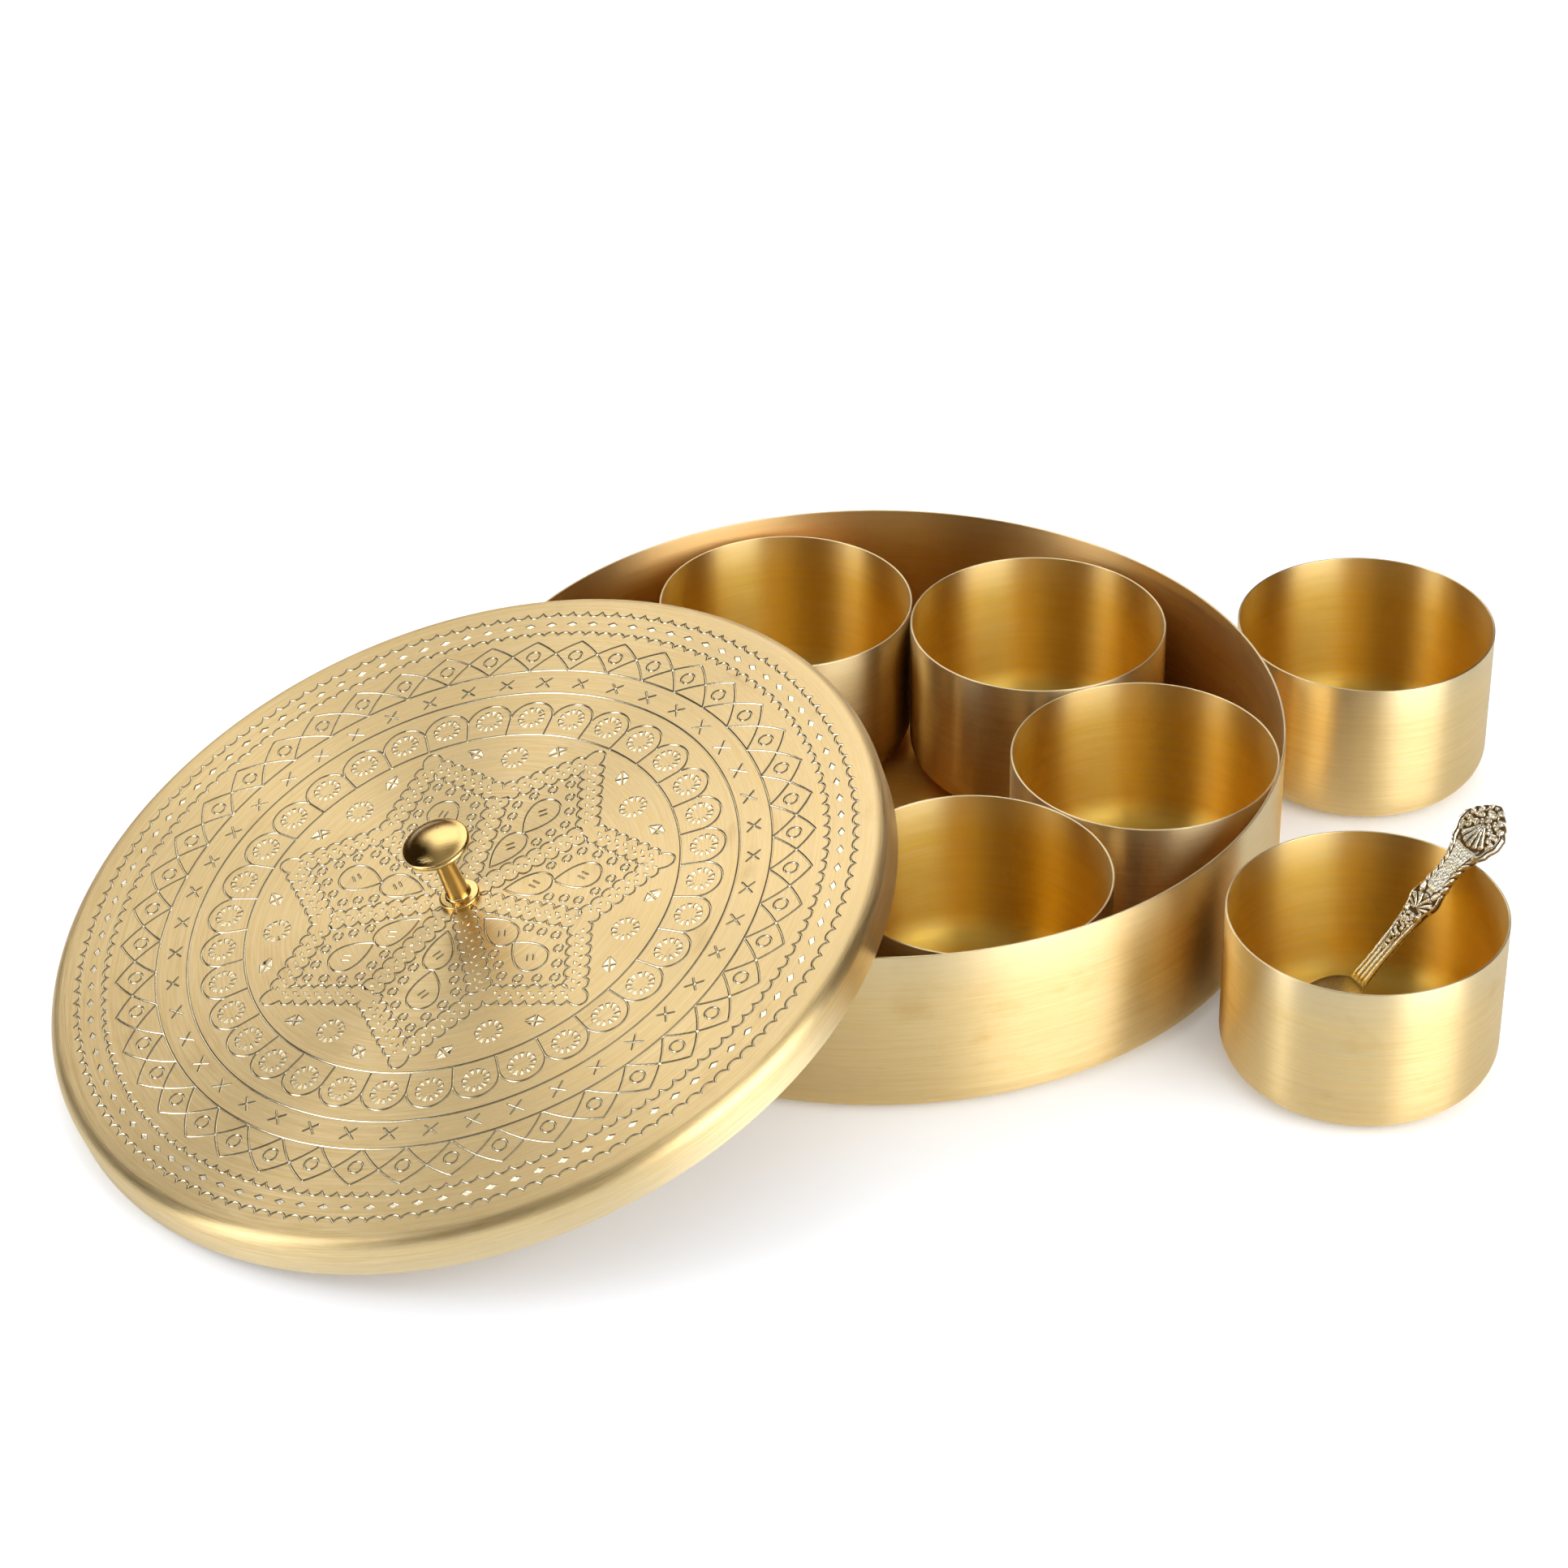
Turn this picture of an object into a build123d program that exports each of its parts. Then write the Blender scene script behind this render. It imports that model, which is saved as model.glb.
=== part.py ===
"""Round brass spice box: open box, seven loose bowls, leaning lid with its knob, and a small spoon.

All lengths are millimetres. The origin is the middle of the box's flat underside, +Z is up,
+X is to the right and +Y to the back of the box as it is looked at from the front.
"""

import os
from math import acos, asin, atan2, cos, degrees, radians, sin, sqrt, tan

from build123d import *

# Box, which is as wide as three bowls in a row and their play
box_height = 45.5
box_sheet = 0.6
box_corner_radius = 7.0
box_play = 1.9

# Bowls
bowl_diameter = 65.0
bowl_height = 41.4
bowl_sheet = 0.55
bowl_corner_radius = 8.5
bowl_seat_gap = 0.02
rim_break = 0.15

# Lid
lid_play = 1.4
lid_skirt_height = 10.0
lid_sheet = 0.6
lid_edge_radius = 3.3
lid_tilt = 17.7
lid_side_turn = -147.2
lid_side_shift = 3.2
lid_rest_gap = 0.25

# Knob and its screw
knob_flange_diameter = 9.8
knob_flange_height = 1.5
knob_stem_foot_diameter = 5.4
knob_stem_diameter = 4.5
knob_head_diameter = 16.2
knob_head_underside = 15.6
knob_head_edge = 17.9
knob_height = 20.4
knob_edge_round = 0.5
knob_foot_round = 0.7
knob_neck_round = 0.9
knob_lip_below = 0.8
knob_lip_above = 0.7
knob_lip_round = 0.7
knob_step_width = 0.8
knob_step_height = 0.25
knob_bore_depth = 9.0
screw_diameter = 3.0
screw_thread_gap = 0.04
screw_hole_gap = 0.2
screw_length = 8.0
screw_head_diameter = 6.0
screw_head_height = 1.9
screw_head_round = 0.7
screw_slot_width = 0.8
screw_slot_depth = 0.9

# Spoon
handle_length = 55.2
handle_thickness = 1.5
handle_edge_radius = 0.4
collar_width = 5.6
stem_width = 4.2
stem_at = 12.0
swell_width = 7.7
swell_at = 27.0
neck_width = 5.5
neck_at = 35.0
head_width = 13.4
head_at = 47.8
scoop_length = 26.0
scoop_width = 17.0
scoop_depth = 5.0
scoop_sheet = 0.9
scoop_drop = 19.0
scoop_lap = 2.4
handle_turn = 24.5
handle_roll = 14.0
handle_foot_height = 12.97
handle_reach = 29.1
handle_side = 7.9
handle_over_rim = 2.8
spoon_stands_in = "bowl_outside_front"

# Bowls in the box, clockwise from the one under the lid: each one's gap to the wall and to the bowl before
ring_start_turn = 169.6
left_wall_gap = 0.7
back_left_wall_gap = 2.8
back_left_gap = 0.5
back_right_wall_gap = 2.9
back_right_gap = 0.35
right_wall_gap = 0.4
right_gap = 0.3
front_wall_gap = 0.7
front_gap = 0.3

# Bowls on the table: each one's turn round the box and its gap to the wall
outside_back_turn = 19.9
outside_back_gap = 1.7
outside_front_turn = -35.6
outside_front_gap = 3.7

# Sizes that follow from the ones above, and the share of a radius at 45 degrees
bowl_radius = bowl_diameter / 2
box_radius = 3 * bowl_radius + box_play + box_sheet
lid_radius = box_radius + lid_play + lid_sheet
slant = sqrt(0.5)


def pan(outer_radius, height, sheet, corner_radius):
    """A round, straight-walled sheet pan with a flat bottom on z=0 and a rounded bottom corner."""
    corner = corner_radius
    inner_corner = corner - sheet
    wall = outer_radius - sheet
    with BuildPart() as made:
        with BuildSketch(Plane.XZ):
            with BuildLine():
                Line((0, 0), (outer_radius - corner, 0))
                ThreePointArc(
                    (outer_radius - corner, 0),
                    (outer_radius - corner * (1 - slant), corner * (1 - slant)),
                    (outer_radius, corner),
                )
                Line((outer_radius, corner), (outer_radius, height - rim_break))
                Line((outer_radius, height - rim_break), (outer_radius - rim_break, height))
                Line((outer_radius - rim_break, height), (wall + rim_break, height))
                Line((wall + rim_break, height), (wall, height - rim_break))
                Line((wall, height - rim_break), (wall, corner))
                ThreePointArc(
                    (wall, corner),
                    (outer_radius - corner + inner_corner * slant, corner - inner_corner * slant),
                    (outer_radius - corner, sheet),
                )
                Line((outer_radius - corner, sheet), (0, sheet))
                Line((0, sheet), (0, 0))
            make_face()
        revolve(axis=Axis.Z)
    return made.part


def lid_place():
    """Where the middle of the lid's top lies when its lower edge is on the table and it leans on the rim."""
    slope = radians(lid_tilt)
    rise = lid_skirt_height * cos(slope) + lid_radius * sin(slope)
    above_rim = box_height + lid_rest_gap + lid_sheet / cos(slope) - rise
    along = box_radius + above_rim / tan(slope)
    turn = radians(lid_side_turn)
    x = along * cos(turn) - lid_side_shift * sin(turn)
    y = along * sin(turn) + lid_side_shift * cos(turn)
    return Location((x, y, rise), (0, 0, lid_side_turn)) * Location((0, 0, 0), (0, lid_tilt, 0))


def lid_shell():
    """The lid with its flat top on z=0, its skirt hanging below, and the screw hole in its middle."""
    shell = Rot(180, 0, 0) * pan(lid_radius, lid_skirt_height, lid_sheet, lid_edge_radius)
    hole = Cylinder(screw_diameter / 2 + screw_hole_gap, 4 * lid_sheet)
    return shell - hole


def knob_turning():
    """The turned knob on z=0: flange, slim stem and mushroom head, with a blind bore for the screw."""
    flange = knob_flange_diameter / 2
    foot = knob_stem_foot_diameter / 2
    stem = knob_stem_diameter / 2
    head = knob_head_diameter / 2
    edge_round = knob_edge_round
    foot_round = knob_foot_round
    neck_round = knob_neck_round
    under_lip = knob_head_edge - knob_lip_below
    upper_lip = knob_head_edge + knob_lip_above
    lip_radius = head - knob_lip_round
    dome_radius = lip_radius - knob_step_width
    dome_foot = upper_lip + knob_step_height
    dome_rise = knob_height - dome_foot
    ball = (dome_radius**2 + dome_rise**2) / (2 * dome_rise)
    half_angle = asin(dome_radius / ball) / 2
    dome_middle = (ball * sin(half_angle), knob_height - ball * (1 - cos(half_angle)))
    with BuildPart() as made:
        with BuildSketch(Plane.XZ):
            with BuildLine():
                Line((0, 0), (flange, 0))
                Line((flange, 0), (flange, knob_flange_height - edge_round))
                ThreePointArc(
                    (flange, knob_flange_height - edge_round),
                    (flange - edge_round * (1 - slant), knob_flange_height - edge_round * (1 - slant)),
                    (flange - edge_round, knob_flange_height),
                )
                Line((flange - edge_round, knob_flange_height), (foot + foot_round, knob_flange_height))
                ThreePointArc(
                    (foot + foot_round, knob_flange_height),
                    (foot + foot_round * (1 - slant), knob_flange_height + foot_round * (1 - slant)),
                    (foot, knob_flange_height + foot_round),
                )
                Line((foot, knob_flange_height + foot_round), (stem, knob_head_underside - neck_round))
                ThreePointArc(
                    (stem, knob_head_underside - neck_round),
                    (stem + neck_round * (1 - slant), knob_head_underside - neck_round * (1 - slant)),
                    (stem + neck_round, knob_head_underside),
                )
                Line((stem + neck_round, knob_head_underside), (lip_radius, under_lip))
                ThreePointArc((lip_radius, under_lip), (head, knob_head_edge), (lip_radius, upper_lip))
                Line((lip_radius, upper_lip), (dome_radius, dome_foot))
                ThreePointArc((dome_radius, dome_foot), dome_middle, (0, knob_height))
                Line((0, knob_height), (0, 0))
            make_face()
        revolve(axis=Axis.Z)
    bore_radius = screw_diameter / 2 + screw_thread_gap
    bore = Pos(0, 0, knob_bore_depth / 2) * Cylinder(bore_radius, knob_bore_depth)
    return made.part - bore


def knob_screw():
    """The pan-head screw: its slotted head is on z=0 and below, its shank stands up into the knob."""
    shank = Pos(0, 0, screw_length / 2) * Cylinder(screw_diameter / 2, screw_length)
    head = Pos(0, 0, -screw_head_height / 2) * Cylinder(screw_head_diameter / 2, screw_head_height)
    head = fillet(head.edges().filter_by(GeomType.CIRCLE).sort_by(Axis.Z)[0], screw_head_round)
    slot = Pos(0, 0, -screw_head_height + screw_slot_depth / 2) * Box(
        2 * screw_head_diameter, screw_slot_width, screw_slot_depth
    )
    return head + shank - slot


def handle_plate():
    """The spoon's handle, its mid-plane on z=0, from its collar at x=0 to the top of its head."""
    stations = [
        (0, collar_width / 2),
        (stem_at, stem_width / 2),
        (swell_at, swell_width / 2),
        (neck_at, neck_width / 2),
        (head_at, head_width / 2),
    ]
    with BuildPart() as made:
        with BuildSketch():
            with BuildLine():
                side = Spline(*stations, tangents=[(1, 0), (1, 0)])
                mirror(side, about=Plane.XZ)
                EllipticalCenterArc(
                    (head_at, 0), handle_length - head_at, head_width / 2, start_angle=-90, arc_size=180
                )
                Line((0, -collar_width / 2), (0, collar_width / 2))
            make_face()
        extrude(amount=handle_thickness / 2, both=True)
    faces = made.part.faces().filter_by(Axis.Z)
    outline = [edge for face in faces for edge in face.edges() if edge.geom_type != GeomType.LINE]
    return fillet(outline, handle_edge_radius)


def scoop():
    """The spoon's oval scoop: an open egg-shell with its rim on z=0 and its neck end at x=0."""
    outer = scale(Sphere(1), by=(scoop_length / 2, scoop_width / 2, scoop_depth))
    inner = scale(
        Sphere(1),
        by=(scoop_length / 2 - scoop_sheet, scoop_width / 2 - scoop_sheet, scoop_depth - scoop_sheet),
    )
    above = Pos(0, 0, scoop_depth) * Box(2 * scoop_length, 2 * scoop_width, 2 * scoop_depth)
    return Pos(-scoop_length / 2, 0, 0) * (outer - inner - above)


def spoon_place():
    """Where the handle's foot lies from the middle of its bowl, when the handle leans over the rim."""
    along = sqrt(bowl_radius**2 - handle_side**2) - handle_reach
    rise = degrees(atan2(bowl_height + handle_over_rim - handle_foot_height, handle_reach))
    lean = Location((0, 0, 0), (0, 0, handle_turn)) * Pos(along, handle_side, handle_foot_height)
    return lean * Location((0, 0, 0), (0, -rise, 0)) * Location((0, 0, 0), (handle_roll, 0, 0))


def ring_places():
    """The middle of each bowl in the box, worked out round the ring from bowl to bowl."""
    ring_gaps = {
        "bowl_left": (left_wall_gap, None),
        "bowl_back_left": (back_left_wall_gap, back_left_gap),
        "bowl_back_right": (back_right_wall_gap, back_right_gap),
        "bowl_right": (right_wall_gap, right_gap),
        "bowl_front": (front_wall_gap, front_gap),
    }
    places = {}
    turn = radians(ring_start_turn)
    before = None
    for name, (wall_gap, bowl_gap) in ring_gaps.items():
        out = box_radius - box_sheet - wall_gap - bowl_radius
        if before:
            apart = 2 * bowl_radius + bowl_gap
            turn -= acos((before**2 + out**2 - apart**2) / (2 * before * out))
        places[name] = (out * cos(turn), out * sin(turn))
        before = out
    return places


def table_places():
    """The middle of each bowl that stands beside the box."""
    table_gaps = {
        "bowl_outside_back": (outside_back_turn, outside_back_gap),
        "bowl_outside_front": (outside_front_turn, outside_front_gap),
    }
    places = {}
    for name, (turn, gap) in table_gaps.items():
        out = box_radius + gap + bowl_radius
        places[name] = (out * cos(radians(turn)), out * sin(radians(turn)))
    return places


def spoon():
    """The spoon as it leans in a bowl, the scoop set flatter than the handle."""
    bend = Location((scoop_lap, 0, 0), (0, scoop_drop, 0))
    whole = handle_plate() + bend * scoop()
    return spoon_place() * whole


def parts():
    """Every piece in its place, by the name of its file."""
    made = {"box": pan(box_radius, box_height, box_sheet, box_corner_radius)}
    lean = lid_place()
    made["lid"] = lean * lid_shell()
    made["lid_knob"] = lean * knob_turning()
    made["knob_screw"] = lean * Pos(0, 0, -lid_sheet) * knob_screw()
    bowl = pan(bowl_radius, bowl_height, bowl_sheet, bowl_corner_radius)
    for name, (x, y) in ring_places().items():
        made[name] = Pos(x, y, box_sheet + bowl_seat_gap) * bowl
    for name, (x, y) in table_places().items():
        made[name] = Pos(x, y, 0) * bowl
    made["spoon"] = Pos(*table_places()[spoon_stands_in]) * spoon()
    return made


os.makedirs("parts", exist_ok=True)
for name, shape in parts().items():
    export_step(shape, f"parts/{name}.step")
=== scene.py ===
"""Looks of a round brass spice box: the box, its loose bowls, the engraved lid with its knob, and the spoon.

Each piece is shaped in millimetres round its own origin, then put in its place and scaled to metres,
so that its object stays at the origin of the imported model's frame.
"""

import logging
import math
import random
from dataclasses import dataclass, field, replace
from enum import Enum

import bpy
from mathutils import Matrix, Vector, noise
from mathutils.geometry import delaunay_2d_cdt
from mathutils.kdtree import KDTree


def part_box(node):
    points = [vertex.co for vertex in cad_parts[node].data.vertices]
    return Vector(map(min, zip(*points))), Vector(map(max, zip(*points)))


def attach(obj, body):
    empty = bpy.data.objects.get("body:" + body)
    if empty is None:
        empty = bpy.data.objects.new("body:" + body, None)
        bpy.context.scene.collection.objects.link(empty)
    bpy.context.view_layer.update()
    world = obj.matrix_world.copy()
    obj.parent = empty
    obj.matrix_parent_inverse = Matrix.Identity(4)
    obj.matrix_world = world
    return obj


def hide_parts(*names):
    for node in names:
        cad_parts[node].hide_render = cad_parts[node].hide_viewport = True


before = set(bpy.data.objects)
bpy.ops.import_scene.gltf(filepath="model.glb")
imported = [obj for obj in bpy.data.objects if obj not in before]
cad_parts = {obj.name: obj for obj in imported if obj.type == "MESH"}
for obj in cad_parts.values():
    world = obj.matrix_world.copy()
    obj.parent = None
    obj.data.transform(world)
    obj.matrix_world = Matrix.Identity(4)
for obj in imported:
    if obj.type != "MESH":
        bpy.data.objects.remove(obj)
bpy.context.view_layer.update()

log = logging.getLogger("spice_box")
logging.basicConfig(level=logging.INFO, format="%(name)s: %(message)s")

MILLIMETRE = 0.001
PLACE_ATTRIBUTE = "turned_place"
ACROSS_ATTRIBUTE = "across_grain"
WEAR_AND_PAINTED_LIGHT_ATTRIBUTE = "wear_and_painted_light"
# Paler rims of the turned pieces, partly wear and partly a painted highlight; on the spoon, its wear with the
# painted shade of its scoop
CUT_ATTRIBUTE = "cut_depth"
INSIDE_ATTRIBUTE = "inside"

# Sizes that more than one piece needs, in millimetres, and a bound past all of them
BOX_RADIUS = 100.0
BOX_HEIGHT = 45.5
BOWL_RADIUS = 32.5
BOWL_HEIGHT = 41.4
RIM_BREAK = 0.15
BEYOND = 1000.0

Point = tuple[float, float]
Colour = tuple[float, float, float]
Scale = tuple[float, float, float]
Span = tuple[float, float, float]
Border = tuple[float, float, float]
Socket = bpy.types.NodeSocket

BLACK = (0.0, 0.0, 0.0)
WHITE = (1.0, 1.0, 1.0)
PER_METRE = (1000.0, 1000.0, 1000.0)


class Body(Enum):
    """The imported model's bodies, apart from the bowls, which have their own nodes' names."""

    BOX = "box"
    LID = "lid"
    SPOON = "spoon"


class Slot(Enum):
    """The record's material slots. No piece in this script takes them."""

    BOX = "brushed_brass"
    BOWL = "bowl_brass"
    LID = "lid_brass"
    KNOB = "polished_brass"
    SPOON = "antique_brass"


# Meshes


def select_only(obj: bpy.types.Object) -> None:
    """Leaves one object selected and active, in object mode."""
    bpy.ops.object.select_all(action="DESELECT")
    obj.select_set(True)
    bpy.context.view_layer.objects.active = obj


def arc(centre: Point, radius: float, start: float, end: float, steps: int) -> list[Point]:
    """Points of a circular arc.

    Args:
        centre: the arc's centre.
        radius: its radius.
        start: the first point's direction, in degrees.
        end: the last point's direction, in degrees.
        steps: how many segments the arc has.

    Returns:
        The points, both ends among them.
    """
    points = []
    for step in range(steps + 1):
        turn = math.radians(start + (end - start) * step / steps)
        points.append((centre[0] + radius * math.cos(turn), centre[1] + radius * math.sin(turn)))
    return points


def extrude_rings(profile: list[Point], start: Point) -> None:
    """Extrudes the selected ring of edges through a profile, in edit mode, round the Z axis.

    Args:
        profile: radius and height of each next ring.
        start: radius and height of the ring that is selected now.
    """
    last_radius, last_height = start
    for radius, height in profile:
        rise = (0.0, 0.0, height - last_height)
        bpy.ops.mesh.extrude_region_move(TRANSFORM_OT_translate={"value": rise})
        share = radius / last_radius
        bpy.ops.transform.resize(value=(share, share, 1.0), center_override=(0.0, 0.0, height))
        last_radius, last_height = radius, height


def turn_on_axis(name: str, profile: list[Point], sides: int, closed: bool = True) -> bpy.types.Object:
    """Shapes a round piece on the Z axis by extruding and resizing a circle along a profile.

    Args:
        name: the new object's name.
        profile: radius and height of each ring.
        sides: how many sides a ring has.
        closed: whether the first and the last ring are closed to a middle point.

    Returns:
        The object. A closed piece has its faces pointing outwards.
    """
    bpy.ops.object.select_all(action="DESELECT")
    bpy.ops.mesh.primitive_circle_add(
        vertices=sides,
        radius=profile[0][0],
        fill_type="TRIFAN" if closed else "NOTHING",
        location=(0, 0, 0),
        enter_editmode=True,
    )
    bpy.ops.transform.translate(value=(0.0, 0.0, profile[0][1]))
    bpy.ops.mesh.select_mode(type="EDGE")
    if closed:
        bpy.ops.mesh.select_all(action="DESELECT")
        bpy.ops.mesh.select_non_manifold()
    extrude_rings(profile[1:], profile[0])
    if closed:
        bpy.ops.mesh.edge_face_add()
        bpy.ops.mesh.poke()
    bpy.ops.mesh.select_all(action="SELECT")
    bpy.ops.mesh.normals_make_consistent(inside=False)
    bpy.ops.mesh.select_mode(type="VERT")
    bpy.ops.object.mode_set(mode="OBJECT")
    obj = bpy.context.object
    obj.name = name
    obj.data.name = name
    return obj


def new_piece(name: str, points: list[tuple[float, float, float]], faces: list) -> bpy.types.Object:
    """An object with a new mesh of the given points and faces."""
    mesh = bpy.data.meshes.new(name)
    mesh.from_pydata(points, [], faces)
    obj = bpy.data.objects.new(name, mesh)
    bpy.context.scene.collection.objects.link(obj)
    return obj


def clean_mesh(obj: bpy.types.Object, merge: float) -> None:
    """Rids an object's mesh of loose and doubled points, and turns its faces outwards.

    Args:
        obj: the object.
        merge: how close two points are that become one.
    """
    select_only(obj)
    bpy.ops.object.mode_set(mode="EDIT")
    bpy.ops.mesh.select_all(action="SELECT")
    bpy.ops.mesh.delete_loose()
    bpy.ops.mesh.select_all(action="SELECT")
    bpy.ops.mesh.remove_doubles(threshold=merge)
    bpy.ops.mesh.normals_make_consistent(inside=False)
    bpy.ops.object.mode_set(mode="OBJECT")


def copy_with_mesh(obj: bpy.types.Object, name: str) -> bpy.types.Object:
    """A copy of an object that has its own mesh."""
    twin = obj.copy()
    twin.data = obj.data.copy()
    twin.name = name
    twin.data.name = name
    bpy.context.scene.collection.objects.link(twin)
    return twin


def smooth(obj: bpy.types.Object, degrees: float) -> None:
    """Shades an object smooth, except where its faces meet at more than an angle."""
    select_only(obj)
    bpy.ops.object.shade_smooth_by_angle(angle=math.radians(degrees))


def vector_attribute(mesh: bpy.types.Mesh, name: str, values: list[Vector]) -> None:
    """Writes one vector for each vertex of a mesh."""
    attribute = mesh.attributes.new(name, "FLOAT_VECTOR", "POINT")
    attribute.data.foreach_set("vector", [number for value in values for number in value])


def value_attribute(mesh: bpy.types.Mesh, name: str, values: list[float]) -> None:
    """Writes one number for each vertex of a mesh."""
    attribute = mesh.attributes.new(name, "FLOAT", "POINT")
    attribute.data.foreach_set("value", values)


def mark_turning(obj: bpy.types.Object, profile: list[Point], rim_height: float, rim_depth: float) -> None:
    """Marks a round piece on the Z axis with what its brushed finish follows.

    The place is across, across, and the way along the profile, so that a fine pattern in the third runs
    round the piece on its walls and on its floor alike.

    Args:
        obj: the piece, still on the Z axis.
        profile: the profile that it was turned from.
        rim_height: the height of its cut rim.
        rim_depth: how far from the rim its paler edge fades out, partly wear and partly a painted highlight.
    """
    ways = [profile[0][0]]
    for (radius_a, height_a), (radius_b, height_b) in zip(profile, profile[1:]):
        ways.append(ways[-1] + math.hypot(radius_b - radius_a, height_b - height_a))
    rings = KDTree(len(profile))
    for index, (radius, height) in enumerate(profile):
        rings.insert((radius, height, 0.0), index)
    rings.balance()
    places, across, edges, inside = [], [], [], []
    top = max(range(len(profile)), key=lambda index: profile[index][1])
    for vertex in obj.data.vertices:
        x, y, z = vertex.co
        radius = math.hypot(x, y)
        index = rings.find((radius, z, 0.0))[1]
        at_middle = radius < 0.5 * profile[index][0]
        places.append(Vector((x, y, ways[index] - (profile[index][0] if at_middle else 0.0))))
        out = Vector((1.0, 0.0, 0.0)) if at_middle else Vector((x, y, 0.0)).normalized()
        across.append(vertex.normal.cross(Vector((-out.y, out.x, 0.0))).normalized())
        # Paler towards the rim: partly a worn edge, partly a painted highlight of the bright rim line
        edges.append(max(0.0, 1.0 - abs(z - rim_height) / rim_depth))
        inside.append(float(index > top))
    vector_attribute(obj.data, PLACE_ATTRIBUTE, places)
    vector_attribute(obj.data, ACROSS_ATTRIBUTE, across)
    value_attribute(obj.data, WEAR_AND_PAINTED_LIGHT_ATTRIBUTE, edges)
    value_attribute(obj.data, INSIDE_ATTRIBUTE, inside)


def place_piece(obj: bpy.types.Object, where: Matrix, material: bpy.types.Material) -> None:
    """Puts a piece's mesh, shaped in millimetres, in its place in metres, turns its grain and dresses it.

    Args:
        obj: the piece, at the origin.
        where: its place, with lengths in millimetres.
        material: its metal.
    """
    obj.data.transform(Matrix.Scale(MILLIMETRE, 4) @ where)
    turn = where.to_3x3()
    attribute = obj.data.attributes.get(ACROSS_ATTRIBUTE)
    if attribute is not None:
        for item in attribute.data:
            item.vector = turn @ item.vector
    obj.data.update()
    obj.data.materials.append(material)


def turned_about(axis: str, degrees: float) -> Matrix:
    """A turn about one of the axes."""
    return Matrix.Rotation(math.radians(degrees), 4, axis)


# Node groups and finishes


class Nodes:
    """A node tree that is being wired: a shorthand for adding nodes and links."""

    def __init__(self, tree: bpy.types.NodeTree) -> None:
        """Takes the tree."""
        self.tree = tree

    def add(self, kind: str, **values: object) -> bpy.types.Node:
        """Adds a node.

        Args:
            kind: the node's type.
            values: its properties.

        Returns:
            The node.
        """
        node = self.tree.nodes.new(kind)
        for key, value in values.items():
            setattr(node, key, value)
        return node

    def link(self, source: Socket, target: Socket) -> None:
        """Links two sockets."""
        self.tree.links.new(source, target)

    def feed(self, target: Socket, value: object) -> None:
        """Gives a socket either another socket's output or a plain value."""
        if isinstance(value, Socket):
            self.link(value, target)
        else:
            target.default_value = value

    def fill(self, node: bpy.types.Node, **values: object) -> bpy.types.Node:
        """Fills a node's inputs by name, and returns the node.

        Args:
            node: the node.
            values: a socket, a colour or a plain value for each input, underscores standing for spaces.

        Returns:
            The node.
        """
        for key, value in values.items():
            target = node.inputs[key.replace("_", " ")]
            colour = target.type == "RGBA" and isinstance(value, tuple)
            self.feed(target, (*value, 1.0) if colour else value)
        return node

    def math(self, operation: str, first: object, second: object = 0.0) -> Socket:
        """Adds a Math node and returns its output."""
        node = self.add("ShaderNodeMath", operation=operation)
        self.feed(node.inputs[0], first)
        self.feed(node.inputs[1], second)
        return node.outputs[0]

    def times(self, first: object, second: object) -> Socket:
        """The product of two values."""
        return self.math("MULTIPLY", first, second)

    def plus(self, first: object, second: object) -> Socket:
        """The sum of two values."""
        return self.math("ADD", first, second)

    def minus(self, first: object, second: object) -> Socket:
        """The first value less the second."""
        return self.math("SUBTRACT", first, second)

    def attribute(self, name: str, output: str = "Fac") -> Socket:
        """One output of an attribute of the mesh."""
        return self.add("ShaderNodeAttribute", attribute_name=name).outputs[output]

    def object_place(self) -> Socket:
        """The Object coordinates."""
        return self.add("ShaderNodeTexCoord").outputs["Object"]

    def mapping(self, vector: Socket, **values: object) -> Socket:
        """Scales or turns a vector with a Mapping node."""
        return self.fill(self.add("ShaderNodeMapping"), Vector=vector, **values).outputs["Vector"]

    def noise(self, place: Socket, scale: object, detail: float, rough: float) -> Socket:
        """The value of a Noise Texture."""
        node = self.add("ShaderNodeTexNoise")
        return self.fill(node, Vector=place, Scale=scale, Detail=detail, Roughness=rough).outputs["Fac"]

    def spread(self, value: Socket, low: object, high: object) -> Socket:
        """Spreads a value that lies between low and high over 0 to 1, held there."""
        node = self.add("ShaderNodeMapRange")
        return self.fill(node, Value=value, From_Min=low, From_Max=high).outputs["Result"]

    def bump(self, height: Socket, distance: float, strength: float) -> Socket:
        """The normal that a height bumps, over a distance in millimetres."""
        node = self.add("ShaderNodeBump")
        self.fill(node, Height=height, Distance=distance * MILLIMETRE, Strength=strength)
        return node.outputs["Normal"]

    def mix(self, share: object, first: object, second: object) -> Socket:
        """Mixes two colours."""
        node = self.fill(self.add("ShaderNodeMix", data_type="RGBA"), Factor=share)
        colours = [socket for socket in node.inputs if socket.type == "RGBA"]
        for socket, value in zip(colours, (first, second)):
            self.feed(socket, (*value, 1.0) if isinstance(value, tuple) else value)
        return [socket for socket in node.outputs if socket.type == "RGBA"][0]

    def group(self, tree: bpy.types.NodeTree, **values: object) -> bpy.types.Node:
        """Places a node group with its inputs filled by name."""
        return self.fill(self.add("ShaderNodeGroup", node_tree=tree), **values)


def new_material(name: str) -> tuple[bpy.types.Material, Nodes, bpy.types.Node]:
    """Starts a material and returns it, its wiring shorthand and its shader."""
    material = bpy.data.materials.new(name)
    material.use_nodes = True
    return material, Nodes(material.node_tree), material.node_tree.nodes["Principled BSDF"]


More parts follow.
